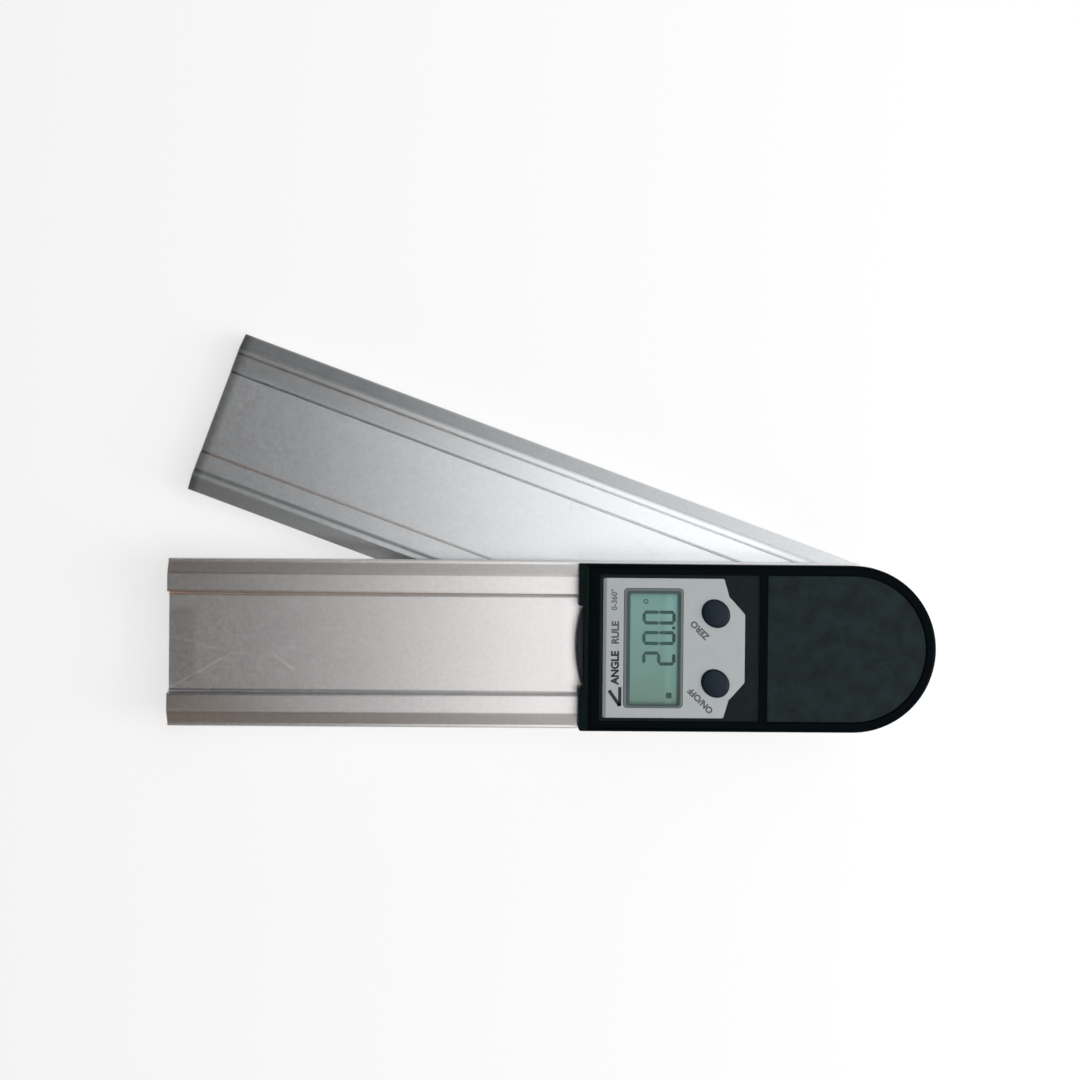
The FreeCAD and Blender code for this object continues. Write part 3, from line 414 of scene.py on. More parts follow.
def seam_group():
    """A mask of painted shade over lines that run along a piece at one distance from its middle, in a range
    of heights: on one side for a side of 1 or -1, on both for 0. They begin at one place, are full up to the
    next and fade out by the last."""
    tree, given, out = open_tree("seam_residue", {
        "Turn": 0.0,
        "Side": 0.0,
        "Distance": 0.015,
        "Width": 0.0009,
        "Middle Height": 0.015,
        "Height Range": 0.004,
        "Start": -1.0,
        "Full To": 0.0,
        "Faded At": 1.0,
        "Unevenness": 0.5,
        "Amount": 0.5,
    }, {"Mask": FLOAT})
    patch_size = 6.0 * MM
    turned = turned_place(tree, given["Turn"])
    along, across, up = (parts_of(tree, turned)[axis] for axis in "XYZ")
    either = maths(tree, "SUBTRACT", 1.0, maths(tree, "ABSOLUTE", given["Side"]))
    out_from_middle = weighted(tree, maths(tree, "MULTIPLY", across, given["Side"]),
                               (maths(tree, "ABSOLUTE", across), either))
    line = within(tree, maths(tree, "SUBTRACT", out_from_middle, given["Distance"]),
                  maths(tree, "MULTIPLY", given["Width"], 0.5), maths(tree, "MULTIPLY", given["Width"], 0.35))
    level = within(tree, maths(tree, "SUBTRACT", up, given["Middle Height"]),
                   maths(tree, "MULTIPLY", given["Height Range"], 0.5), 0.1 * MM)
    uneven = weighted(tree, 1.0, (noise(tree, turned, patch_size, 3.0, 0.6), given["Unevenness"]))
    fade = ranged(tree, along, given["Full To"], given["Faded At"], 1.0, 0.0)
    begun = maths(tree, "GREATER_THAN", along, given["Start"])
    mask = maths(tree, "MULTIPLY", maths(tree, "MULTIPLY", line, level),
                 maths(tree, "MULTIPLY", uneven, fade))
    mask = maths(tree, "MULTIPLY", mask, begun)
    put_out(tree, out, {"Mask": maths(tree, "MULTIPLY", mask, given["Amount"])})
    return tree


def patch_group():
    """A mask over a soft-edged box, turned about Z, for painted shade and painted light on the arms."""
    tree, given, out = open_tree("handled_patch", {
        "Turn": 0.0,
        "Middle": VECTOR,
        "Size": VECTOR,
        "Soft Edge": 0.002,
        "Amount": 0.2,
    }, {"Mask": FLOAT})
    offset = wire(tree, "ShaderNodeVectorMath", {0: turned_place(tree, given["Turn"]), 1: given["Middle"]},
                  operation="SUBTRACT").outputs[0]
    offsets = parts_of(tree, offset)
    sizes = parts_of(tree, given["Size"])
    mask = given["Amount"]
    for axis in "XYZ":
        half = maths(tree, "MULTIPLY", sizes[axis], 0.5)
        mask = maths(tree, "MULTIPLY", mask, within(tree, offsets[axis], half, given["Soft Edge"]))
    put_out(tree, out, {"Mask": mask})
    return tree


SHADER_GROUPS = {
    "satin_metal_grain": satin_metal_group,
    "moulded_grain": moulded_group,
    "handling_marks": marks_group,
    "seam_residue": seam_group,
    "handled_patch": patch_group,
}


def group_node(tree, name, inputs):
    """The outputs of a shader group, which is built the first time it is asked for."""
    group = bpy.data.node_groups.get(name) or SHADER_GROUPS[name]()
    return wire(tree, "ShaderNodeGroup", inputs, node_tree=group).outputs


# Materials

def emptied(owner):
    """The node tree of a material or world, with nothing in it."""
    owner.use_nodes = True
    owner.node_tree.nodes.clear()
    return owner.node_tree


def open_material():
    """A new node material: itself, its tree and its Principled shader, already linked to the output."""
    material = bpy.data.materials.new("finish")
    tree = emptied(material)
    shader = tree.nodes.new("ShaderNodeBsdfPrincipled")
    wire(tree, "ShaderNodeOutputMaterial", {"Surface": shader.outputs[0]})
    return material, tree, shader


def feed(tree, shader, grain, strength, distance=0.1 * MM):
    """Links a grain group's outputs to a shader, its height through a bump."""
    bump = wire(tree, "ShaderNodeBump", {"Height": grain["Height"], "Strength": strength,
                                         "Distance": distance})
    tree.links.new(grain["Colour"], shader.inputs["Base Color"])
    tree.links.new(grain["Roughness"], shader.inputs["Roughness"])
    tree.links.new(bump.outputs[0], shader.inputs["Normal"])


def metal(base, rough, turn=0.0, grain_size=0.0004, grain=0.1, lines=0.1, patches=0.06, marks=0.0, shades=()):
    """A satin metal. Each shade is a mask group's name, its inputs and the metal's tint there: painted shade
    where the tint is below 1, painted light where it is above 1.
    """
    material, tree, shader = open_material()
    shader.inputs["Metallic"].default_value = 1.0
    group = group_node(tree, "satin_metal_grain", {
        "Colour": (*base[:3], 1.0),
        "Turn": turn,
        "Grain Size": grain_size,
        "Grain": grain,
        "Lines": lines,
        "Patches": patches,
        "Roughness": rough,
    })
    feed(tree, shader, group, 0.15)
    shaded = group["Colour"]
    for kind, inputs, tint in shades:
        mask = group_node(tree, kind, inputs)["Mask"]
        shaded = blended(tree, mask, shaded, (*tint, 1.0), blend_type="MULTIPLY")
    tree.links.new(shaded, shader.inputs["Base Color"])
    if marks:
        mask = group_node(tree, "handling_marks", {"Amount": marks})["Mask"]
        tree.links.new(maths(tree, "ADD", group["Roughness"], mask), shader.inputs["Roughness"])
    return material


def plastic(base, rough, grain_size=0.0003, grain=0.2, cloud_size=0.006, clouds=0.1, specular=0.5,
            strength=0.2, metallic=0.0):
    """A moulded plastic, rubber or paint."""
    material, tree, shader = open_material()
    shader.inputs["Metallic"].default_value = metallic
    shader.inputs["Specular IOR Level"].default_value = specular
    feed(tree, shader, group_node(tree, "moulded_grain", {
        "Colour": (*base[:3], 1.0),
        "Grain Size": grain_size,
        "Grain": grain,
        "Cloud Size": cloud_size,
        "Clouds": clouds,
        "Roughness": rough,
    }), strength)
    return material


def display_glass():
    """Green-grey reflecting glass, darker towards the head's near side as painted shade, and paler along the
    window's front edge as painted light where the frame's shadow falls.
    """
    material, tree, shader = open_material()
    shader.inputs["Specular IOR Level"].default_value = 0.2
    place = parts_of(tree, object_place(tree))
    half_length = 17.0 * MM
    # Painted shade: the glass darkens towards the side further from the light
    share = ranged(tree, place["Y"], -half_length, half_length)
    base = blended(tree, share, finishes().display_low, finishes().display)
    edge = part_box("window_frame")[1].x - head().frame_wall
    # Painted light along the frame's edge, where the frame's shadow falls on the glass
    painted_light_ramp = ranged(tree, place["X"], edge - 4.0 * MM, edge + 0.3 * MM, high=0.9)
    painted_light_edge = ranged(tree, place["X"], edge - 1.2 * MM, edge, high=0.6)
    feed(tree, shader, group_node(tree, "moulded_grain", {
        "Colour": tinted(tree, base, maths(tree, "ADD", painted_light_ramp, painted_light_edge)),
        "Grain Size": 0.00025,
        "Grain": 0.06,
        "Cloud Size": 0.007,
        "Clouds": 0.12,
        "Roughness": 0.32,
    }), 0.05, 0.05 * MM)
    return material


def window_clear():
    """The thin clear window: mostly see-through, with a faint gloss."""
    material, tree, shader = open_material()
    shader.inputs["Base Color"].default_value = (0.55, 0.60, 0.58, 1.0)
    haze = noise(tree, object_place(tree), 4.0 * MM, 3.0, 0.6)
    tree.links.new(weighted(tree, 0.045, (haze, 0.02)), shader.inputs["Alpha"])
    tree.links.new(weighted(tree, 0.06, (haze, 0.04)), shader.inputs["Roughness"])
    return material


def finish_table():
    """The makers of all finishes but the visible arms', first those named after the frame's slots. The
    numbers after a plastic's colour are its roughness, grain size, grain, cloud size and clouds."""
    f = finishes()
    return {
        "arm_aluminium": lambda: metal(f.upper_arm, 0.33, grain=0.12, lines=0.04, patches=0.05, marks=0.05),
        "shell_black": lambda: plastic(f.shell, 0.20, 0.0005, 0.10, 0.01, 0.2, specular=0.022),
        "cover_black": lambda: plastic(f.cover, 0.55, 0.0010, 0.6, 0.005, 2.2, specular=0.12, strength=0.5),
        "button_black": lambda: plastic(f.button, 0.38, 0.0003, 0.3, specular=0.15),
        "plate_silver": lambda: plastic(f.plate, 0.42, 0.0006, 0.10, 0.004, 0.14, metallic=0.15),
        "frame_grey": lambda: plastic(f.frame, 0.40, 0.0002, 0.15),
        "window_clear": window_clear,
        "display_green": display_glass,
        "nylon": lambda: plastic((0.62, 0.61, 0.56), 0.45, 0.0004, 0.1),
        "strip_rubber": lambda: plastic((0.03, 0.03, 0.032), 0.7, 0.0003, 0.4),
        "steel": lambda: metal((0.55, 0.55, 0.56), 0.28, lines=0.2),
        "screw_steel": lambda: metal((0.42, 0.42, 0.43), 0.32, lines=0.1, grain=0.2),
        "bronze": lambda: metal((0.50, 0.30, 0.14), 0.38, grain=0.25),
        "leaf_bronze": lambda: metal((0.66, 0.47, 0.25), 0.30, lines=0.25),
        "board_green": lambda: plastic((0.012, 0.10, 0.045), 0.38, 0.0006, 0.25, 0.004, 0.3),
        "chip_black": lambda: plastic((0.012, 0.012, 0.013), 0.55, 0.0002, 0.3),
        "cell_steel": lambda: metal((0.62, 0.62, 0.61), 0.24, lines=0.3, marks=0.08),
        "field_black": lambda: plastic(f.field, 0.55, 0.0010, 0.45, 0.004, 0.9, specular=0.1, strength=0.5),
        "drawer_black": lambda: plastic(f.drawer, 0.4, 0.0005, 0.2, specular=0.25),
        "gasket": lambda: plastic(f.gasket, 0.5, 0.0002, 0.2, specular=0.2),
        "grey_ink": lambda: plastic(f.grey_ink, 0.5, 0.0002, 0.2, specular=0.2),
        "dark_ink": lambda: plastic(f.dark_ink, 0.5, 0.0002, 0.2, specular=0.2),
        "display_bars": lambda: plastic(f.bars, 0.5, 0.0003, 0.15, specular=0.1),
    }


def finish(name, maker=None):
    """A material by its finish's name, made the first time it is asked for."""
    material = bpy.data.materials.get("finish_" + name)
    if material is None:
        material = (maker or finish_table()[name])()
        material.name = "finish_" + name
    return material


# Outlines and meshes

def circle(radius, segments, middle=(0.0, 0.0)):
    """Points on a circle, counter-clockwise."""
    turns = [2 * math.pi * i / segments for i in range(segments)]
    return [(middle[0] + radius * math.cos(t), middle[1] + radius * math.sin(t)) for t in turns]


def oval(middle, long_half, short_half, turn, segments=72):
    """Points on a turned ellipse, counter-clockwise."""
    return [(middle[0] + long_half * x * math.cos(turn) - short_half * y * math.sin(turn),
             middle[1] + long_half * x * math.sin(turn) + short_half * y * math.cos(turn))
            for x, y in circle(1.0, segments)]


def round_ended(back, half, segments=96):
    """A flat back at x = -back and a half circle about the pivot axis, counter-clockwise."""
    turns = [-math.pi / 2 + math.pi * i / segments for i in range(segments + 1)]
    return [(-back, -half)] + [(half * math.cos(t), half * math.sin(t)) for t in turns] + [(-back, half)]


def rectangle(x, y, width, depth):
    """Corners of a rectangle by its middle, counter-clockwise."""
    right = x + width / 2
    left = x - width / 2
    near = y - depth / 2
    far = y + depth / 2
    return [(left, near), (right, near), (right, far), (left, far)]


def round_corners(points, radii, steps=6):
    """An open line with its inner corners rounded."""
    line = [points[0]]
    for before, corner, after, radius in zip(points, points[1:], points[2:], radii):
        one = (Vector(before) - Vector(corner)).normalized()
        two = (Vector(after) - Vector(corner)).normalized()
        half = one.angle(two) / 2
        if radius <= 0 or half > math.radians(89.5):
            line.append(corner)
            continue
        reach = radius / math.tan(half)
        middle = Vector(corner) + (one + two).normalized() * (radius / math.sin(half))
        start = Vector(corner) + one * reach - middle
        end = Vector(corner) + two * reach - middle
        sweep = math.atan2(start.x * end.y - start.y * end.x, start.dot(end))
        for i in range(steps + 1):
            line.append(tuple(middle + Matrix.Rotation(sweep * i / steps, 2) @ start))
    return line + [points[-1]]


def rounded_outline(points, radius, steps=8):
    """A closed outline with all its corners rounded by one radius."""
    closed = [points[-1]] + list(points) + [points[0]]
    return round_corners(closed, [radius] * len(points), steps)[1:-1]


def inset(points, distance):
    """A closed outline, counter-clockwise, moved inwards along its mitred normals."""
    sharpest = 0.35
    moved = []
    for i, point in enumerate(points):
        before = Vector(points[i - 1])
        here = Vector(point)
        after = Vector(points[(i + 1) % len(points)])
        one = (here - before).normalized()
        two = (after - here).normalized()
        normal = Vector((-(one.y + two.y), one.x + two.x)).normalized()
        share = max(sharpest, normal.dot(Vector((-one.y, one.x))))
        moved.append(tuple(here + normal * (distance / share)))
    return moved


def edge_rings(low, high, edge, steps=3):
    """Insets and levels of a plate with the same rounding at its lower and upper edge."""
    turns = [math.pi / 2 * i / steps for i in range(steps + 1)]
    lower = [(edge * (1 - math.sin(t)), low + edge * (1 - math.cos(t))) for t in turns]
    upper = [(edge * (1 - math.cos(t)), high - edge * (1 - math.sin(t))) for t in turns]
    return lower + upper


def at_level(outline, z):
    return [(x, y, z) for x, y in outline]


def new_mesh(name, points, faces):
    mesh = bpy.data.meshes.new(name)
    mesh.from_pydata([tuple(p) for p in points], [], faces)
    mesh.validate()
    return mesh


def new_object(name, data):
    piece = bpy.data.objects.new(name, data)
    bpy.context.scene.collection.objects.link(piece)
    return piece


def discard(piece):
    bpy.data.objects.remove(piece, do_unlink=True)


def from_bmesh(name, work):
    """An object from a bmesh, which is used up, with its faces turned outwards."""
    bmesh.ops.recalc_face_normals(work, faces=work.faces)
    mesh = bpy.data.meshes.new(name)
    work.to_mesh(mesh)
    work.free()
    return new_object(name, mesh)


def evaluated_mesh(piece):
    """A new mesh of what an object's modifiers or letters make."""
    graph = bpy.context.evaluated_depsgraph_get()
    return bpy.data.meshes.new_from_object(piece.evaluated_get(graph), preserve_all_data_layers=True,
                                           depsgraph=graph)


def settle(piece):
    """Turns what the modifiers make into the piece's own mesh and removes them."""
    mesh = evaluated_mesh(piece)
    piece.modifiers.clear()
    piece.data = mesh
    mesh.name = piece.name
    return piece


def tidy(piece, merge=0.001 * MM):
    """Merges doubles and turns all faces outwards."""
    work = bmesh.new()
    work.from_mesh(piece.data)
    bmesh.ops.remove_doubles(work, verts=work.verts, dist=merge)
    bmesh.ops.dissolve_degenerate(work, edges=work.edges, dist=merge)
    bmesh.ops.recalc_face_normals(work, faces=work.faces)
    work.to_mesh(piece.data)
    work.free()
    return piece


def smoothed(piece, limit=SMOOTH_ANGLE):
    """Smooth shading with sharp edges kept, and flat faces left flat by weighted normals."""
    piece.data.shade_smooth()
    piece.data.set_sharp_from_angle(angle=limit)
    modifier = piece.modifiers.new("normals", "WEIGHTED_NORMAL")
    modifier.keep_sharp = True
    modifier.weight = 80
    return settle(piece)


def drilled(piece, cutter):
    """The piece less a cutter, which is used up."""
    modifier = piece.modifiers.new("cut", "BOOLEAN")
    modifier.operation = "DIFFERENCE"
    modifier.solver = "EXACT"
    modifier.object = cutter
    settle(piece)
    discard(cutter)
    return piece


def lofted(work, rings, close_ends=True):
    """Quads between rings of the same number of points, added to a bmesh, with flat ends."""
    made = [[work.verts.new(point) for point in ring] for ring in rings]
    count = len(rings[0])
    for lower, upper in zip(made, made[1:]):
        for i in range(count):
            k = (i + 1) % count
            work.faces.new((lower[i], lower[k], upper[k], upper[i]))
    if close_ends:
        work.faces.new(list(reversed(made[0])))
        work.faces.new(made[-1])
    return made


def prism(work, outline, low, high):
    """An upright block with one outline, added to a bmesh."""
    lofted(work, [at_level(outline, low), at_level(outline, high)])


def block(name, outline, low, high):
    """An upright block as an object of its own."""
    work = bmesh.new()
    prism(work, outline, low, high)
    return from_bmesh(name, work)


def plate(name, outer, holes, rings):
    """A flat piece with holes: its outlines swept through rings of (inset, level), closed by flat faces."""
    work = bmesh.new()
    ends = ([], [])
    for i, outline in enumerate([outer] + holes):
        sign = -1 if i else 1
        made = lofted(work, [at_level(inset(outline, sign * gap), z) for gap, z in rings], close_ends=False)
        for end, ring in zip(ends, (made[0], made[-1])):
            end.extend(work.edges.get((ring[i - 1], ring[i])) for i in range(len(ring)))
    for end in ends:
        bmesh.ops.triangle_fill(work, use_beauty=True, use_dissolve=True, edges=end)
    return from_bmesh(name, work)


def dress(piece, body, slot, *nodes, material=None):
    """Gives a piece its material, the one of its slot unless another is given, puts it in its body and hides
    the nodes that it stands for.
    """
    piece.data.materials.clear()
    piece.data.materials.append(material or finish(slot))
    for polygon in piece.data.polygons:
        polygon.material_index = 0
    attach(piece, body)
    if nodes:
        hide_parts(*nodes)


# Geometry Nodes

def place_parts(tree):
    """The X, Y and Z of a point of the geometry."""
    return parts_of(tree, tree.nodes.new("GeometryNodeInputPosition").outputs[0])


def placed(tree, geometry, **inputs):
    """A geometry with its points set to a position or moved by an offset, all or only a selection."""
    named = {name.title(): value for name, value in inputs.items()}
    return wire(tree, "GeometryNodeSetPosition", {"Geometry": geometry, **named}).outputs[0]


def attribute(tree, name, data_type):
    return wire(tree, "GeometryNodeInputNamedAttribute", {"Name": name}, data_type=data_type).outputs[0]


def joined(tree, *parts):
    """Several geometries as one."""
    node = tree.nodes.new("GeometryNodeJoinGeometry")
    for part in parts:
        tree.links.new(part, node.inputs[0])
    return node.outputs[0]


def close_tree(tree, geometry, given, out):
    """Ends a tree with its instances made real and its material on everything."""
    real = wire(tree, "GeometryNodeRealizeInstances", {"Geometry": geometry}).outputs[0]
    painted = wire(tree, "GeometryNodeSetMaterial", {"Geometry": real, "Material": given["Material"]})
    put_out(tree, out, {"Geometry": painted.outputs[0]})


def run_tree(piece, tree, values):
    """Runs a tree on a piece with named inputs, and keeps its result as a plain mesh."""
    modifier = piece.modifiers.new(tree.name, "NODES")
    modifier.node_group = tree
    for item in tree.interface.items_tree:
        if item.item_type == "SOCKET" and item.in_out == "INPUT" and item.name in values:
            modifier[item.identifier] = values[item.name]
    settle(piece)


# The arms

def section_places():
    """Distances from an arm's middle to its edge, bevel's top, step to the web, groove and line."""
    a = arms()
    half = a.width / 2
    bevel_top = half - a.edge_ledge - a.bevel_width
    return half, bevel_top, bevel_top - a.land_width, half - a.groove_inset, half - a.line_inset


def section_half():
    """Half the extrusion's section as (across, up) points: web, land, bevel, edge, inner bevel, grooves."""
    a = arms()
    half, bevel_top, step, groove, line = section_places()
    web = a.thickness - a.web_depth
    small = a.corner * 0.4
    corners = [
        ((0.0, web), 0.0),
        ((step - a.step_lean, web), a.web_blend),
        ((step, a.thickness), a.corner),
        ((bevel_top, a.thickness), a.bevel_blend),
        ((half - a.edge_ledge, a.thickness - a.bevel_drop), small),
        ((half, a.thickness - a.bevel_drop), a.ledge_round),
        ((half, a.inner_bevel_drop), a.corner),
        ((half - a.inner_bevel_width, 0.0), a.bevel_blend / 4),
        ((groove + a.groove_width / 2, 0.0), small),
        ((groove, a.groove_depth), small),
        ((groove - a.groove_width / 2, 0.0), small),
        ((line + a.line_width / 2, 0.0), small),
        ((line, a.line_depth), small),
        ((line - a.line_width / 2, a.inner_recess), small),
        ((0.0, a.inner_recess), 0.0),
    ]
    return round_corners([place for place, radius in corners], [radius for place, radius in corners[1:-1]])


def level_at(line, y):
    """The height of a line of (across, up) points at one place across."""
    for (y0, z0), (y1, z1) in zip(line, line[1:]):
        if y0 <= y <= y1 or y1 <= y <= y0:
            return z0 if y1 == y0 else z0 + (z1 - z0) * (y - y0) / (y1 - y0)
    return line[-1][1]


def section_strip(name):
    """The section as a strip of upright faces, with the direction in which each point is chamfered."""
    a = arms()
    half = a.width / 2
    outline = section_half()
    side = max(range(len(outline)), key=lambda i: (round(outline[i][0], 9), -i))
    upper = outline[:side + 1]
    lower = outline[side + 1:]
    nose_turns = range(0, 90, 3)
    places = {round(y, 7) for y, z in outline}
    places |= {round(half * math.sin(math.radians(turn)), 7) for turn in nose_turns}
    places = sorted(y for y in places if y <= half)
    both = [-y for y in reversed(places) if y > 0] + places
    sawn_end = a.end_chamfer - a.reach
    points = [(sawn_end, y, level_at(line, abs(y))) for y in both for line in (upper, lower)]
    faces = [(2 * i, 2 * i + 2, 2 * i + 3, 2 * i + 1) for i in range(len(both) - 1)]
    strip = new_object(name, new_mesh(name, points, faces))
    inward = strip.data.attributes.new("inward", "FLOAT_VECTOR", "POINT")
    for i, (x, y, z) in enumerate(points):
        inward.data[i].vector = (-1.0, -y / half, -1.0 if i % 2 == 0 else 1.0)
    return strip


def extrusion_tree():
    """Sweeps a section along X, breaks the edges of its sawn end and rounds its other end about the pivot."""
    tree, given, out = open_tree("arm_extrusion", {
        "Geometry": GEOMETRY,
        "Reach": 0.2,
        "Round End": 0.025,
        "Chamfer": 0.0002,
        "Material": MATERIAL,
    }, {"Geometry": GEOMETRY}, "GeometryNodeTree")
    radius = given["Round End"]
    run = wire(tree, "ShaderNodeCombineXYZ", {"X": maths(tree, "ADD", given["Reach"], radius)}).outputs[0]
    sweep = {"Mesh": given["Geometry"], "Offset": run, "Offset Scale": 1.0, "Individual": False}
    bar = wire(tree, "GeometryNodeExtrudeMesh", sweep, mode="FACES")
    turned = wire(tree, "GeometryNodeFlipFaces", {"Mesh": given["Geometry"]}).outputs[0]
    lift = {"Mesh": turned, "Offset Scale": 0.0, "Individual": False}
    end = wire(tree, "GeometryNodeExtrudeMesh", lift, mode="FACES")
    step = wire(tree, "ShaderNodeVectorMath", {0: attribute(tree, "inward", "FLOAT_VECTOR"),
                                               "Scale": given["Chamfer"]}, operation="SCALE").outputs[0]
    broken = placed(tree, end.outputs["Mesh"], selection=end.outputs["Top"], offset=step)
    whole = joined(tree, bar.outputs["Mesh"], broken)
    place = place_parts(tree)
    squares = maths(tree, "SUBTRACT", maths(tree, "MULTIPLY", radius, radius),
                    maths(tree, "MULTIPLY", place["Y"], place["Y"]))
    nose = maths(tree, "SQRT", maths(tree, "MAXIMUM", squares, 0.0))
    arc = wire(tree, "ShaderNodeCombineXYZ", {"X": nose, "Y": place["Y"], "Z": place["Z"]}).outputs[0]
    beyond = wire(tree, "FunctionNodeCompare", {0: place["X"], 1: 0.0}, data_type="FLOAT",
                  operation="GREATER_THAN").outputs[0]
    shaped = placed(tree, whole, selection=beyond, position=arc)
    merged = wire(tree, "GeometryNodeMergeByDistance", {"Geometry": shaped, "Distance": 0.0005 * MM})
    close_tree(tree, merged.outputs[0], given, out)
    return tree


# Tints that the arms' masks multiply the metal's colour by: below 1 painted shade, above 1 painted light
BROWN = (0.40, 0.15, 0.0)
BLUE = (0.0, 0.10, 0.30)
SLATE = (0.0, 0.02, 0.08)
DARK = (0.0, 0.0, 0.0)
PAINTED_LIGHT = (1.22, 1.22, 1.22)


def painted_corner_shades(turn, outer, inner):
    """The painted shade in an arm's corners, grooves and creases and on its slopes, at the heights of its
    outer and its inner side.
    """
    a = arms()
    half, bevel_top, step, groove, line = section_places()
    bevel = bevel_top + a.bevel_width / 2
    land = bevel_top - a.land_width / 2
    inner_bevel = half - a.inner_bevel_width / 2
    whole = (0.0, 10.0 * MM)

    def faded(full, gone):
        return -full * a.reach, -gone * a.reach

    # Side, distance from the middle, width, height, amount, tint, unevenness, and where it fades
    rows = (
        (1.0, step - 0.45 * MM, 1.7 * MM, outer, 0.56, BROWN, 0.4, faded(1.0, 0.38)),
        (-1.0, step - 0.45 * MM, 1.7 * MM, outer, 0.52, SLATE, 0.4, faded(1.0, 0.38)),
        (0.0, bevel_top + 0.1 * MM, 0.6 * MM, outer, 0.22, DARK, 0.5, whole),
        (1.0, bevel, a.bevel_width, outer, 0.26, BROWN, 0.15, faded(1.0, 0.4)),
        (-1.0, bevel, a.bevel_width, outer, 0.46, BROWN, 0.15, faded(1.0, 0.35)),
        (1.0, land, a.land_width, outer, 0.12, DARK, 0.15, faded(1.0, 0.7)),
        (-1.0, land, a.land_width, outer, 0.38, BROWN, 0.15, faded(1.0, 0.82)),
        (1.0, line, a.line_width, inner, 0.30, BLUE, 0.5, faded(0.9, 0.4)),
        (-1.0, line, 1.2 * a.line_width, inner, 0.34, BROWN, 0.5, faded(1.0, 0.3)),
        (1.0, groove, 1.7 * a.groove_width, inner, 0.16, BROWN, 0.5, faded(0.8, 0.3)),
        (-1.0, groove, 2.0 * a.groove_width, inner, 0.32, DARK, 0.3, whole),
        (1.0, inner_bevel, a.inner_bevel_width, inner, 0.66, DARK, 0.15, faded(0.8, 0.05)),
        (-1.0, inner_bevel, a.inner_bevel_width, inner, 0.42, DARK, 0.15, faded(1.0, 0.75)),
        (1.0, half - a.inner_bevel_width, 0.9 * MM, inner, 0.22, DARK, 0.5, whole),
        (1.0, half - 8.0 * MM, 8.0 * MM, inner, 0.24, DARK, 0.1, faded(0.85, 0.45)),
    )
    return [("seam_residue", {
        "Turn": turn,
        "Side": side,
        "Distance": distance,
        "Width": width,
        "Middle Height": height,
        "Height Range": 4.0 * MM,
        "Start": a.end_chamfer - a.reach,
        "Full To": fade[0],
        "Faded At": fade[1],
        "Unevenness": unevenness,
        "Amount": amount,
    }, tint) for side, distance, width, height, amount, tint, unevenness, fade in rows]


def patch(turn, middle, size, soft, amount, tint=DARK):
    """A soft-edged patch of painted shade, or, with a tint above 1, of painted light, its place given along,
    across and up the arm.
    """
    return ("handled_patch", {"Turn": turn, "Middle": middle, "Size": size, "Soft Edge": soft,
                              "Amount": amount}, tint)


def aluminium(base, turn, level, upwards):
    """An arm's satin metal, with painted shade in its section's corners and on its slopes, a soft patch of
    painted shade near its free end and, on the arm that lies outer side up, painted light on the web by the
    head's wall, where the wall shades it."""
    a = arms()
    step = section_places()[2]
    outer_depth = 1.5 * MM
    inner_depth = 0.5 * MM
    outer = level + (a.thickness - outer_depth if upwards else outer_depth)
    inner = level + (inner_depth if upwards else a.thickness - inner_depth)
    shades = painted_corner_shades(turn, outer, inner)
    if upwards:
        web = level + a.thickness - a.web_depth
        shade_patch_size = (8.5 * MM, 22.5 * MM, 2.0 * MM)
        painted_light_size = (7.0 * MM, 2 * step, 2.0 * MM)
        # Painted shade: a soft darker patch on the web near the free end
        shades.append(patch(turn, (4.0 * MM - a.reach, -0.9 * MM, web), shade_patch_size, 2.5 * MM, 0.13))
        # Painted light: the web made paler beside the head's wall, which shades it
        shades.append(patch(turn, (HEAD_BACK, 0.0, web), painted_light_size, 5.0 * MM, 1.0, PAINTED_LIGHT))
    else:
        shade_patch_size = (3.6 * MM, a.width + 4.0 * MM, 4.0 * MM)
        # Painted shade: a dark band across the lower arm's free end
        shades.append(patch(turn, (0.5 * MM - a.reach, 0.0, inner), shade_patch_size, 3.0 * MM, 0.48))
    return metal(base, 0.355, turn=turn, grain_size=0.0012, grain=0.22, lines=0.035, patches=0.06, marks=0.05,
                 shades=shades)


def build_arm(tree, node, body, base, level, bore, turn):
    """One arm: as extruded, outer side up, or turned over and opened about the pivot if it has a turn."""
    a = arms()
    over = MM
    material = finish(node + "_aluminium", lambda: aluminium(base, turn, level, not turn))
    arm = section_strip(node + "_visual")
    run_tree(arm, tree, {"Reach": a.reach - a.end_chamfer, "Round End": a.width / 2, "Chamfer": a.end_chamfer,
                         "Material": material})
    tidy(arm, 0.0002 * MM)
    drilled(arm, block("bore", circle(bore, 64), -over, a.thickness + over))
    if turn:
        arm.data.transform(Matrix.Translation((0, 0, a.thickness)) @ Matrix.Rotation(math.pi, 4, "X"))
        arm.data.transform(Matrix.Rotation(-turn, 4, "Z"))
    else:
        arm.data.transform(Matrix.Translation((0, 0, level)))
    smoothed(arm, SHARP_ANGLE)
    dress(arm, body, "arm_aluminium", node, material=material)


class ANGLE_RULE_OT_arms(bpy.types.Operator):
    """Build both arms from one extruded section"""
    bl_idname = "angle_rule.arms"
    bl_label = "Arms"

    def execute(self, context):
        tree = extrusion_tree()
        bush_bore = 8.05 * MM
        shaft_bore = 6.02 * MM
        build_arm(tree, "fixed_arm", "fixed_body", finishes().upper_arm, ARM_GAP, bush_bore, 0.0)
        build_arm(tree, "swing_arm", "swing_body", finishes().lower_arm, 0.0, shaft_bore, arms().opening)
        return {"FINISHED"}


# The head's outer pieces

def button_place(node):
    """The middle of a button."""
    low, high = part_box(node)
    return (low.x + high.x) / 2, (low.y + high.y) / 2


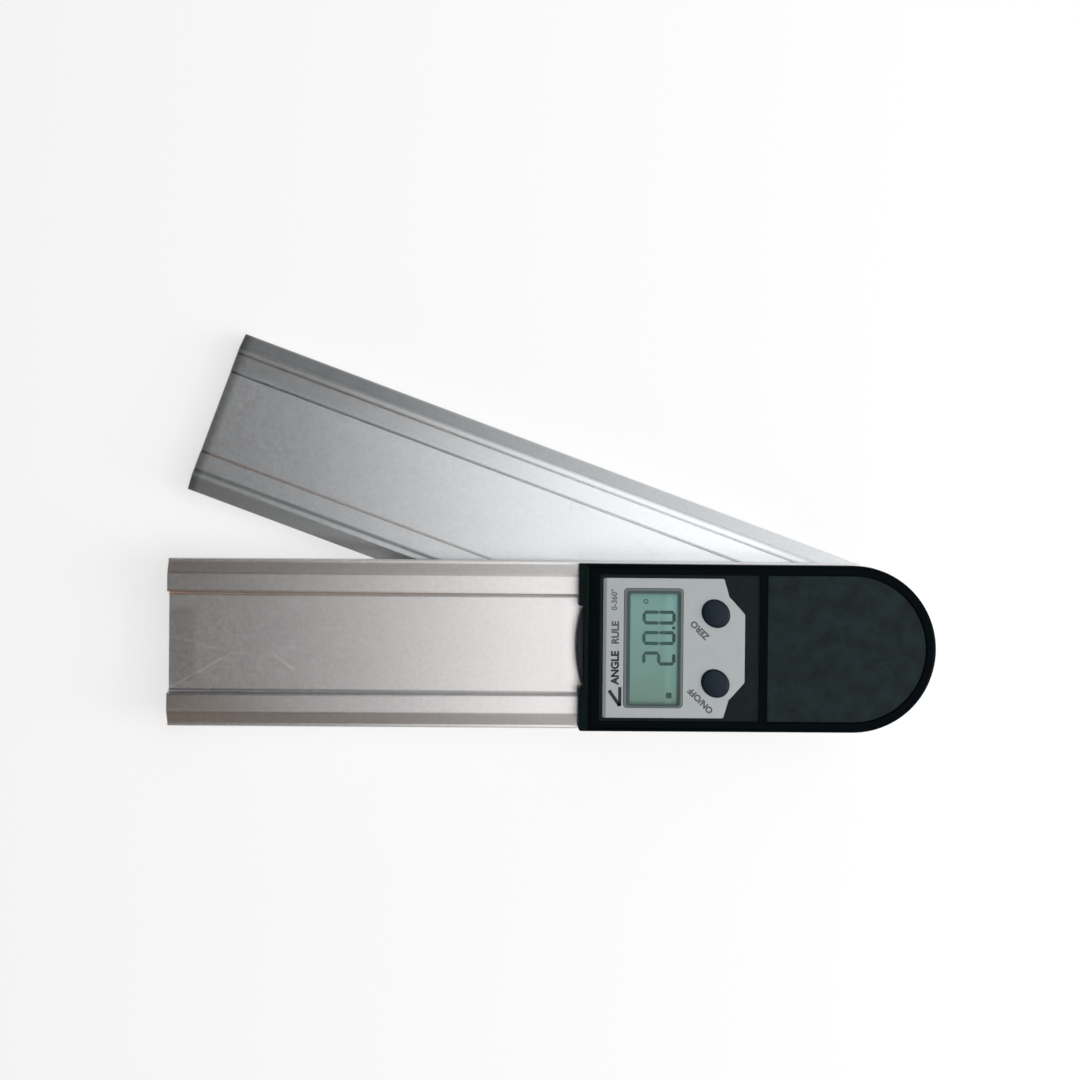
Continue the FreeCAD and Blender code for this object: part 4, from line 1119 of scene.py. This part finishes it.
def frame_outline(gap=0.0):
    """The rounded outline of the window's frame, made larger by a gap."""
    corner = 1.2 * MM
    middle, size = middle_and_size("window_frame")
    return rounded_outline(rectangle(middle.x, middle.y, size.x + 2 * gap, size.y + 2 * gap), corner + gap)


def window_opening(gap=0.0):
    """The corners of the opening in the window's frame, made larger by a gap."""
    h = head()
    middle, size = middle_and_size("window_frame")
    return rectangle(middle.x + h.window_shift, middle.y + (h.frame_foot - h.frame_wall) / 2,
                     size.x - 2 * h.frame_wall + 2 * gap, size.y - h.frame_wall - h.frame_foot + 2 * gap)


class ANGLE_RULE_OT_hinge_cover(bpy.types.Operator):
    """Build the matt round-ended cover over the pivot"""
    bl_idname = "angle_rule.hinge_cover"
    bl_label = "Hinge cover"

    def execute(self, context):
        low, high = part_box("hinge_cover")
        rings = edge_rings(low.z, high.z, head().cover_edge, 4)
        cover = smoothed(plate("hinge_cover_visual", round_ended(-low.x, high.y), [], rings))
        dress(cover, "fixed_body", "cover_black", "hinge_cover")
        return {"FINISHED"}


class ANGLE_RULE_OT_face_plate(bpy.types.Operator):
    """Build the silver plate round the display and the buttons"""
    bl_idname = "angle_rule.face_plate"
    bl_label = "Face plate"

    def execute(self, context):
        h = head()
        low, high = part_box("face_plate")
        back = low.x
        half = high.y
        corner_radius = 0.6 * MM
        # The upper half's corners, from the end of the straight side over a small step to the tapered front
        upper = [
            (back + 35.8 * MM, half),
            (back + 37.4 * MM, 15.3 * MM),
            (back + 38.4 * MM, 14.3 * MM),
            (high.x - 0.4 * MM, 10.6 * MM),
            (high.x, 10.1 * MM),
        ]
        corners = [(back, -half)] + [(x, -y) for x, y in upper] + list(reversed(upper)) + [(back, half)]
        frame_gap = 0.05 * MM
        button_gap = 0.2 * MM
        holes = [frame_outline(frame_gap)]
        for node in ("zero_button", "power_button"):
            holes.append(oval(button_place(node), h.button_long + button_gap, h.button_short + button_gap,
                              h.button_turn))
        sheet = plate("face_plate_visual", rounded_outline(corners, corner_radius, 5), holes,
                      edge_rings(low.z, high.z, h.plate_edge, 2))
        over = MM
        section = [
            (back - over, high.z + over),
            (back - over, high.z - h.plate_bevel_drop * (1 + over / h.plate_bevel_width)),
            (back + h.plate_bevel_width * (1 + over / h.plate_bevel_drop), high.z + over),
        ]
        wedge = bmesh.new()
        lofted(wedge, [[(x, y, z) for x, z in section] for y in (-half - over, half + over)])
        drilled(sheet, from_bmesh("wedge", wedge))
        dress(smoothed(sheet, SHARP_ANGLE), "fixed_body", "plate_silver", "face_plate")
        return {"FINISHED"}


def printed(name, text, size, weight, place, turn, ink):
    """A word printed on the plate as a thin raised mesh, its strokes widened by a share of its size. Its
    place is in millimetres."""
    height = head().print_height
    curve = bpy.data.curves.new(name, "FONT")
    curve.body = text
    curve.size = size
    curve.offset = size * weight
    curve.align_x = "CENTER"
    curve.align_y = "CENTER"
    curve.extrude = height / 2
    letters = new_object(name, curve)
    mesh = evaluated_mesh(letters)
    discard(letters)
    middle = (place[0] * MM, place[1] * MM, PLATE_LEVEL + height / 2)
    mesh.transform(Matrix.Translation(middle) @ Matrix.Rotation(turn, 4, "Z"))
    dress(tidy(new_object(name, mesh), 0.0005 * MM), "fixed_body", "frame_grey", material=finish(ink))


class ANGLE_RULE_OT_print(bpy.types.Operator):
    """Print the words beside the buttons and, on the plate's strip, an angle sign and its words"""
    bl_idname = "angle_rule.print"
    bl_label = "Print"

    def execute(self, context):
        h = head()
        slanted = math.radians(135)
        upright = math.radians(90)
        kind_size = h.strip_size * 0.95
        range_size = h.strip_size * 0.75
        # Name, words, type size, widening of the strokes, place, turn and ink
        for row in (
                ("zero_label", h.zero_label, h.label_size, 0.04, (-45.9, 5.45), slanted, "grey_ink"),
                ("power_label", h.power_label, h.label_size, 0.04, (-45.5, -15.5), slanted, "grey_ink"),
                ("strip_name", h.strip_name, h.strip_size, 0.045, (-70.9, -5.9), upright, "dark_ink"),
                ("strip_kind", h.strip_kind, kind_size, 0.04, (-70.9, 4.5), upright, "grey_ink"),
                ("strip_range", h.strip_range, range_size, 0.018, (-71.3, 14.3), upright, "grey_ink")):
            printed(*row)
        sign = bmesh.new()
        corner = Vector((-69.5 * MM, -17.2 * MM))
        sign_opening = math.radians(35)
        leg_length = 5.6 * MM
        leg_half = 0.5 * MM
        for turn in (0.0, sign_opening):
            along = Vector((-math.sin(turn), math.cos(turn)))
            across = Vector((along.y, -along.x)) * leg_half
            tip = corner + along * leg_length
            prism(sign, [corner - across, tip - across, tip + across, corner + across], PLATE_LEVEL,
                  PLATE_LEVEL + h.print_height)
        dress(from_bmesh("strip_sign", sign), "fixed_body", "frame_grey", material=finish("dark_ink"))
        return {"FINISHED"}


class ANGLE_RULE_OT_window(bpy.types.Operator):
    """Build the window's frame, its dark gasket and its clear pane"""
    bl_idname = "angle_rule.window"
    bl_label = "Window"

    def execute(self, context):
        h = head()
        low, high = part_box("window_frame")
        middle, size = middle_and_size("window_frame")
        wall = h.frame_wall - h.gasket
        foot = h.frame_foot - h.gasket / 2
        step_corner = 0.8 * MM
        opening_corner = 0.5 * MM
        band_depth = 0.12 * MM
        band_edge = 0.08 * MM
        pane_edge = 0.06 * MM
        outer = frame_outline()
        step = rounded_outline(rectangle(middle.x, middle.y + (foot - wall) / 2, size.x - 2 * wall,
                                         size.y - wall - foot), step_corner)
        inner = rounded_outline(window_opening(), opening_corner)
        rim = plate("window_frame_visual", outer, [step], edge_rings(low.z, high.z, h.frame_edge, 3))
        dress(smoothed(rim), "fixed_body", "frame_grey", "window_frame")
        band = plate("window_gasket", step, [inner], edge_rings(low.z, high.z - band_depth, band_edge, 2))
        dress(smoothed(band), "fixed_body", "frame_grey", material=finish("gasket"))
        low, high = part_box("window_lens")
        pane = plate("window_lens_visual", outer, [], edge_rings(low.z, high.z, pane_edge, 2))
        dress(smoothed(pane), "fixed_body", "window_clear", "window_lens")
        return {"FINISHED"}


# The display

# The bars that each digit lights, named a to g from the top bar round to the middle one
SEGMENTS = {
    "0": "abcdef",
    "1": "bc",
    "2": "abged",
    "3": "abgcd",
    "4": "fgbc",
    "5": "afgcd",
    "6": "afgedc",
    "7": "abc",
    "8": "abcdefg",
    "9": "abcdfg",
}


def bar_shape(tree, given, length_name):
    """A bar along X with pointed ends, made from a six-sided cylinder."""
    solid = wire(tree, "GeometryNodeMeshCylinder", {"Vertices": 6, "Radius": 1.0, "Depth": 1.0})
    place = place_parts(tree)
    half_width = maths(tree, "MULTIPLY", given["Bar Width"], 0.5)
    tip = maths(tree, "GREATER_THAN", maths(tree, "ABSOLUTE", place["X"]), 0.75)
    shoulder = maths(tree, "SUBTRACT", maths(tree, "MULTIPLY", given[length_name], 0.5), half_width)
    along = maths(tree, "MULTIPLY", maths(tree, "SIGN", place["X"]),
                  weighted(tree, shoulder, (tip, half_width)))
    side = maths(tree, "MULTIPLY", maths(tree, "MULTIPLY", place["Y"], 2 / math.sqrt(3)), half_width)
    tall = maths(tree, "MULTIPLY", place["Z"], given["Bar Height"])
    target = wire(tree, "ShaderNodeCombineXYZ", {"X": along, "Y": side, "Z": tall}).outputs[0]
    return placed(tree, solid.outputs["Mesh"], position=target)


def bars_tree():
    """Sets a bar at each point: a tall one where the point is marked upright, else a wide one."""
    tree, given, out = open_tree("display_bars", {
        "Geometry": GEOMETRY,
        "Wide Length": 0.003,
        "Tall Length": 0.004,
        "Bar Width": 0.0009,
        "Bar Height": 0.00003,
        "Material": MATERIAL,
    }, {"Geometry": GEOMETRY}, "GeometryNodeTree")
    upright = attribute(tree, "upright", "BOOLEAN")
    flat = wire(tree, "FunctionNodeBooleanMath", {0: upright}, operation="NOT").outputs[0]
    parts = [wire(tree, "GeometryNodeInstanceOnPoints", {
        "Points": given["Geometry"],
        "Selection": chosen,
        "Instance": bar_shape(tree, given, length_name),
        "Rotation": (0.0, 0.0, turn),
    }).outputs[0] for length_name, chosen, turn in (("Wide Length", flat, math.pi / 2),
                                                    ("Tall Length", upright, 0.0))]
    close_tree(tree, joined(tree, *parts), given, out)
    return tree


def bar_points():
    """The lit bars' middles and whether each is upright, for the whole reading. The digits' tops point
    along -X."""
    d = display()
    half_height = (d.digit_height - d.bar_width) / 2
    half_width = (d.digit_width - d.bar_width) / 2
    places = {
        "a": (2 * half_height, 0.0, False),
        "b": (1.5 * half_height, half_width, True),
        "c": (0.5 * half_height, half_width, True),
        "d": (0.0, 0.0, False),
        "e": (0.5 * half_height, -half_width, True),
        "f": (1.5 * half_height, -half_width, True),
        "g": (half_height, 0.0, False),
    }
    points = []
    upright = []
    foot = d.base_line - d.bar_width / 2
    for i, digit in enumerate(d.reading.replace(".", "")):
        across = d.first_digit + i * d.digit_pitch
        for bar in SEGMENTS[digit]:
            up, side, tall = places[bar]
            points.append((foot - up, across + side, GLASS_LEVEL + d.bar_height / 2))
            upright.append(tall)
    return points, upright


def build_glass():
    """The display's two glass plates, the upper one shorter at both ends, as one piece."""
    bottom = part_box("lcd_panel")[0].z
    middle, size = middle_and_size("lcd_panel")
    edge = 0.08 * MM
    contact_ledge = 1.4 * MM
    work = bmesh.new()
    for level, depth in ((bottom, size.y), (middle.z, size.y - 2 * contact_ledge)):
        outline = rounded_outline(rectangle(middle.x, middle.y, size.x, depth), 0.2 * MM, 3)
        rings = edge_rings(level, level + size.z / 2, edge, 2)
        lofted(work, [at_level(inset(outline, gap), z) for gap, z in rings])
    dress(smoothed(from_bmesh("display_glass", work)), "fixed_body", "display_green", "lcd_panel")


def build_bars():
    """The bars of the reading."""
    d = display()
    points, upright = bar_points()
    bars = new_object("display_bars", new_mesh("display_bars", points, []))
    marked = bars.data.attributes.new("upright", "BOOLEAN", "POINT")
    for i, tall in enumerate(upright):
        marked.data[i].value = tall
    run_tree(bars, bars_tree(), {
        "Wide Length": d.digit_width - d.bar_width - 2 * d.bar_gap,
        "Tall Length": (d.digit_height - d.bar_width) / 2 - 2 * d.bar_gap + d.bar_width * 0.35,
        "Bar Width": d.bar_width,
        "Bar Height": d.bar_height,
        "Material": finish("display_bars"),
    })
    dress(bars, "fixed_body", "display_green", material=finish("display_bars"))


def build_signs():
    """The decimal point, the degree ring and the square that shows which mode is on."""
    d = display()
    segments = 24
    point_radius = 0.5 * MM
    square_side = 1.7 * MM
    outside = 0.75 * MM
    inside = 0.45 * MM
    low = GLASS_LEVEL
    high = GLASS_LEVEL + d.bar_height
    last = d.first_digit + (len(d.reading) - 2) * d.digit_pitch
    point = (d.base_line - d.bar_width * 0.6, last - d.digit_pitch / 2)
    degree = (d.base_line - d.digit_height + 1.0 * MM, last + d.digit_width / 2 + 2.7 * MM)
    square = rounded_outline(rectangle(-54.75 * MM, -14.25 * MM, square_side, square_side), 0.3 * MM, 3)
    work = bmesh.new()
    prism(work, circle(point_radius, segments, point), low, high)
    prism(work, square, low, high)
    lofted(work, [at_level(circle(radius, segments, degree), z) for radius, z in (
        (outside, low), (outside, high), (inside, high), (inside, low), (outside, low))], close_ends=False)
    signs = tidy(from_bmesh("display_signs", work))
    dress(signs, "fixed_body", "display_green", material=finish("display_bars"))


class ANGLE_RULE_OT_display(bpy.types.Operator):
    """Build the display's glass, the bars of its reading and its signs"""
    bl_idname = "angle_rule.display"
    bl_label = "Display"

    def execute(self, context):
        build_glass()
        build_bars()
        build_signs()
        return {"FINISHED"}


# The buttons

def button_rings(low, high):
    """A button from its stem up, as (half length, half width, level): stem, flange, side, rim and crown."""
    h = head()
    long_half = h.button_long
    short_half = h.button_short
    stem = 1.6 * MM
    flange = 0.8 * MM
    chamfer = 0.1 * MM
    flange_top = HEAD_LEVEL - 2.05 * MM
    flange_low = flange_top - 0.9 * MM
    crown = 0.32 * MM
    rim_height = h.button_edge * 0.8
    rim = high - crown - rim_height
    steps = 8
    rings = [(stem, stem, low), (stem, stem, flange_low)]
    for out, level in ((flange - chamfer, flange_low), (flange, flange_low + chamfer),
                       (flange, flange_top - chamfer), (flange - chamfer, flange_top), (0.0, flange_top)):
        rings.append((long_half + out, short_half + out, level))
    for i in range(steps + 1):
        t = math.pi / 2 * i / steps
        gap = h.button_edge * (1 - math.cos(t))
        rings.append((long_half - gap, short_half - gap, rim + rim_height * math.sin(t)))
    for i in range(1, steps):
        share = 1 - i / steps
        rings.append(((long_half - h.button_edge) * share, (short_half - h.button_edge) * share,
                      high - crown * share * share))
    return rings


class ANGLE_RULE_OT_buttons(bpy.types.Operator):
    """Build the two domed oval buttons with their flanges and stems"""
    bl_idname = "angle_rule.buttons"
    bl_label = "Buttons"

    def execute(self, context):
        rim_angle = math.radians(40)
        for node, body in (("zero_button", "zero_body"), ("power_button", "power_body")):
            low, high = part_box(node)
            place = button_place(node)
            work = bmesh.new()
            made = lofted(work, [at_level(oval(place, a, b, head().button_turn), z)
                                 for a, b, z in button_rings(low.z, high.z)], close_ends=False)
            work.faces.new(list(reversed(made[0])))
            tip = work.verts.new((*place, high.z))
            last = made[-1]
            for i in range(len(last)):
                work.faces.new((last[i - 1], last[i], tip))
            cap = smoothed(from_bmesh(node + "_visual", work), rim_angle)
            dress(cap, body, "button_black", node)
        return {"FINISHED"}


# The shell and the drawer

def refined_copy(node, name):
    """A copy of a measured piece with doubles merged, flat faces joined and sharp edges broken."""
    flat_angle = math.radians(0.6)
    source = frame["nodes"][node]
    mesh = source.data.copy()
    mesh.transform(source.matrix_world)
    if "custom_normal" in mesh.attributes:
        mesh.attributes.remove(mesh.attributes["custom_normal"])
    work = bmesh.new()
    work.from_mesh(mesh)
    bmesh.ops.remove_doubles(work, verts=work.verts, dist=0.002 * MM)
    bmesh.ops.dissolve_degenerate(work, edges=work.edges, dist=0.001 * MM)
    bmesh.ops.dissolve_limit(work, angle_limit=flat_angle, verts=work.verts, edges=work.edges)
    sharp = [e for e in work.edges if e.is_manifold and e.calc_face_angle(0.0) > SMOOTH_ANGLE]
    bmesh.ops.bevel(work, geom=sharp, offset=head().broken_edge, segments=2, profile=0.5, affect="EDGES",
                    clamp_overlap=True)
    bmesh.ops.remove_doubles(work, verts=work.verts, dist=0.0005 * MM)
    bmesh.ops.recalc_face_normals(work, faces=work.faces)
    work.to_mesh(mesh)
    work.free()
    return smoothed(new_object(name, mesh))


class ANGLE_RULE_OT_head_shell(bpy.types.Operator):
    """Refine the gloss shell, with matt plastic on the display pocket's floor and on its back wall"""
    bl_idname = "angle_rule.head_shell"
    bl_label = "Head shell"

    def execute(self, context):
        shell = refined_copy("head_shell", "head_shell_visual")
        cut_gap = 0.25 * MM
        cut_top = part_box("window_lens")[0].z + 0.1 * MM
        smoothed(drilled(shell, block("window_cut", window_opening(cut_gap), GLASS_LEVEL, cut_top)))
        dress(shell, "fixed_body", "shell_black", "head_shell")
        shell.data.materials.append(finish("field_black"))
        floor_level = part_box("face_plate")[0].z
        level_error = 0.02 * MM
        wall_end = HEAD_BACK + 3 * MM
        for face in shell.data.polygons:
            floor = face.normal.z > 0.99 and abs(face.center.z - floor_level) < level_error
            wall = face.normal.x < -0.3 and face.center.x < wall_end
            if floor or wall:
                face.material_index = 1
        return {"FINISHED"}


class ANGLE_RULE_OT_battery_drawer(bpy.types.Operator):
    """Refine the battery drawer"""
    bl_idname = "angle_rule.battery_drawer"
    bl_label = "Battery drawer"

    def execute(self, context):
        drawer = refined_copy("battery_drawer", "battery_drawer_visual")
        dress(drawer, "drawer_body", "shell_black", "battery_drawer", material=finish("drawer_black"))
        return {"FINISHED"}


# Screws

SCREW_HEAD = 1.3 * MM


def screw_mesh():
    """One pan-head screw with a cross recess, its seat at the origin and its tip down."""
    radius = 1.0 * MM
    root = 0.86 * radius
    pitch = 0.36 * MM
    threads = 8
    first = -3.1 * MM
    head_radius = 1.75 * MM
    recess_width = 0.5 * MM
    profile = [(0.55 * radius, -3.6 * MM), (radius, -3.2 * MM)]
    for i in range(threads):
        z = first + i * pitch
        profile += [(radius, z), (root, z + pitch / 2)]
    profile += [(radius * 0.95, 0.0), (head_radius - 0.08 * MM, 0.0), (head_radius, 0.08 * MM),
                (head_radius, SCREW_HEAD - 0.45 * MM), (head_radius * 0.93, SCREW_HEAD - 0.18 * MM),
                (head_radius * 0.72, SCREW_HEAD - 0.03 * MM), (head_radius * 0.4, SCREW_HEAD)]
    work = bmesh.new()
    lofted(work, [at_level(circle(r, 32), z) for r, z in profile])
    screw = from_bmesh("screw", work)
    recess = ((0.6 * MM, SCREW_HEAD - 0.75 * MM), (2.6 * MM, SCREW_HEAD + 0.2 * MM))
    for turn in (0.0, math.pi / 2):
        slot = bmesh.new()
        lofted(slot, [[(x * math.cos(turn) - y * math.sin(turn), x * math.sin(turn) + y * math.cos(turn), z)
                       for x, y in rectangle(0, 0, width, recess_width)] for width, z in recess])
        drilled(screw, from_bmesh("slot", slot))
    return smoothed(screw, math.radians(35))


def screws_tree():
    """Sets one screw at each point, head up or head down."""
    tree, given, out = open_tree("set_of_screws", {
        "Geometry": GEOMETRY,
        "Screw": "NodeSocketObject",
        "Tip": 0.0,
        "Material": MATERIAL,
    }, {"Geometry": GEOMETRY}, "GeometryNodeTree")
    screw = wire(tree, "GeometryNodeObjectInfo", {"Object": given["Screw"]}).outputs["Geometry"]
    turn = wire(tree, "ShaderNodeCombineXYZ", {"X": given["Tip"]}).outputs[0]
    screws = wire(tree, "GeometryNodeInstanceOnPoints", {"Points": given["Geometry"], "Instance": screw,
                                                         "Rotation": turn}).outputs[0]
    close_tree(tree, screws, given, out)
    return tree


class ANGLE_RULE_OT_flange_screws(bpy.types.Operator):
    """Set the screws that hold the pivot's flange under the lower arm"""
    bl_idname = "angle_rule.flange_screws"
    bl_label = "Flange screws"

    def execute(self, context):
        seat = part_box("flange_screws")[0].z + SCREW_HEAD
        bolt_circle = 9.3 * MM
        turns = [2 * math.pi * i / 3 - arms().opening for i in range(3)]
        points = [(bolt_circle * math.cos(t), bolt_circle * math.sin(t), seat) for t in turns]
        screw = screw_mesh()
        screws = new_object("flange_screws_visual", new_mesh("flange_screws_visual", points, []))
        run_tree(screws, screws_tree(), {"Screw": screw, "Tip": math.pi, "Material": finish("screw_steel")})
        discard(screw)
        dress(screws, "swing_body", "screw_steel", "flange_screws")
        return {"FINISHED"}


class ANGLE_RULE_OT_carried_parts(bpy.types.Operator):
    """Give the pieces that keep their measured shape their own materials"""
    bl_idname = "angle_rule.carried_parts"
    bl_label = "Carried-over parts"

    def execute(self, context):
        for node in frame["nodes"].values():
            slot = node.data.materials[0].name.split(".")[0]
            if slot not in finish_table():
                raise RuntimeError("no finish for slot " + slot)
            for place in node.material_slots:
                place.material = finish(slot)
        return {"FINISHED"}


# The studio

def add_lamp(name, place, target, size, radiance):
    """A rectangular soft lamp of a given radiance, aimed at a point."""
    lamp = bpy.data.lights.new(name, "AREA")
    lamp.shape = "RECTANGLE"
    lamp.size, lamp.size_y = size
    lamp.energy = radiance * math.pi * size[0] * size[1]
    stand = new_object(name, lamp)
    stand.location = place
    stand.rotation_euler = (Vector(target) - Vector(place)).to_track_quat("-Z", "Y").to_euler()


def add_camera():
    """The camera, almost straight above the arms."""
    camera = bpy.data.cameras.new("camera")
    camera.lens = studio().lens
    camera.sensor_width = 36.0
    camera.clip_start = 0.01
    view = new_object("camera", camera)
    view.location = (-0.10263, 0.03427, 0.43809)
    view.rotation_euler = [math.radians(turn) for turn in (-0.366, -1.253, 0.544)]
    bpy.context.scene.camera = view


def seen_directly(tree):
    """1 for camera, glossy and transmission rays, else 0."""
    path = tree.nodes.new("ShaderNodeLightPath").outputs
    either = maths(tree, "MAXIMUM", path["Is Camera Ray"], path["Is Glossy Ray"])
    return maths(tree, "MAXIMUM", either, path["Is Transmission Ray"])


def floor_material():
    """A pale floor that keeps the object's shadow, lifted to white where it is seen, and more so far away."""
    material = bpy.data.materials.new("floor")
    tree = emptied(material)
    diffuse = wire(tree, "ShaderNodeBsdfDiffuse", {"Color": studio().floor_colour})
    place = object_place(tree)
    distance = wire(tree, "ShaderNodeVectorMath", {0: place}, operation="LENGTH").outputs["Value"]
    near = 0.7
    far = 2.4
    level = ranged(tree, distance, near, far, low=0.60, high=0.96)
    lift = wire(tree, "ShaderNodeEmission", {"Color": (1.0, 1.0, 1.0, 1.0),
                                             "Strength": maths(tree, "MULTIPLY", seen_directly(tree), level)})
    both = wire(tree, "ShaderNodeAddShader", {0: diffuse.outputs[0], 1: lift.outputs[0]})
    wire(tree, "ShaderNodeOutputMaterial", {"Surface": both.outputs[0]})
    return material


def build_world():
    """Pale walls that give way, between 7 and 20 degrees above the horizon, to a dim ceiling."""
    wall_top = 0.12
    ceiling_edge = 0.34
    world = bpy.data.worlds.new("studio")
    bpy.context.scene.world = world
    tree = emptied(world)
    up = parts_of(tree, tree.nodes.new("ShaderNodeTexCoord").outputs["Generated"])["Z"]
    share = ranged(tree, up, wall_top, ceiling_edge, interpolation_type="SMOOTHSTEP")
    light = blended(tree, share, studio().walls, studio().ceiling)
    background = wire(tree, "ShaderNodeBackground", {"Color": light, "Strength": 1.0})
    wire(tree, "ShaderNodeOutputWorld", {"Surface": background.outputs[0]})


class ANGLE_RULE_OT_stage(bpy.types.Operator):
    """Set up the floor, the lamps, the world and the camera"""
    bl_idname = "angle_rule.stage"
    bl_label = "Stage"

    def execute(self, context):
        s = studio()
        context.scene.view_settings.view_transform = "Standard"
        corners = at_level(rectangle(0, 0, s.floor_size, s.floor_size), -0.05 * MM)
        floor = new_object("floor", new_mesh("floor", corners, [(0, 1, 2, 3)]))
        floor.data.materials.append(floor_material())
        build_world()
        row_x = 0.565
        row_step = 1.53
        # Name, place, target, size and radiance
        for row in (
                ("overhead_lamp", (row_x, 0.0, 1.0), (row_x, 0.0, 0.0), (1.43, 1.3), s.overhead),
                ("rear_lamp", (row_x, row_step, 1.0), (row_x, row_step, 0.0), (1.43, 1.75), s.rear),
                ("front_lamp", (row_x, -row_step, 1.0), (row_x, -row_step, 0.0), (1.43, 1.75), s.front),
                ("fill_lamp", (-0.85, -0.80, 1.0), (-0.85, -0.80, 0.0), (0.7, 0.7), s.fill),
                ("side_lamp", (1.15, -0.15, 0.65), (-0.05, 0.02, 0.0), (0.7, 0.9), s.side)):
            add_lamp(*row)
        add_camera()
        return {"FINISHED"}


# The add-on

OPERATORS = (
    ANGLE_RULE_OT_stage,
    ANGLE_RULE_OT_carried_parts,
    ANGLE_RULE_OT_arms,
    ANGLE_RULE_OT_head_shell,
    ANGLE_RULE_OT_battery_drawer,
    ANGLE_RULE_OT_hinge_cover,
    ANGLE_RULE_OT_face_plate,
    ANGLE_RULE_OT_print,
    ANGLE_RULE_OT_window,
    ANGLE_RULE_OT_display,
    ANGLE_RULE_OT_buttons,
    ANGLE_RULE_OT_flange_screws,
)


class ANGLE_RULE_PT_panel(bpy.types.Panel):
    """Lists the pieces and their settings"""
    bl_idname = "ANGLE_RULE_PT_panel"
    bl_label = "Angle Rule"
    bl_space_type = "VIEW_3D"
    bl_region_type = "UI"
    bl_category = "Angle Rule"

    def draw(self, context):
        for operator in OPERATORS:
            self.layout.operator(operator.bl_idname)
        for key in SETTINGS:
            box = self.layout.box()
            group = getattr(context.scene, key)
            box.label(text=type(group).__name__)
            for name in group.bl_rna.properties.keys():
                if name not in ("rna_type", "name"):
                    box.prop(group, name)


def register():
    for name, group in SETTINGS.items():
        bpy.utils.register_class(group)
        setattr(bpy.types.Scene, name, PointerProperty(type=group))
    for drawn in (*OPERATORS, ANGLE_RULE_PT_panel):
        bpy.utils.register_class(drawn)


def unregister():
    for drawn in reversed((*OPERATORS, ANGLE_RULE_PT_panel)):
        bpy.utils.unregister_class(drawn)
    for name, group in SETTINGS.items():
        delattr(bpy.types.Scene, name)
        bpy.utils.unregister_class(group)


def main():
    register()
    for operator in OPERATORS:
        space, name = operator.bl_idname.split(".")
        getattr(getattr(bpy.ops, space), name)()


if __name__ == "__main__":
    main()
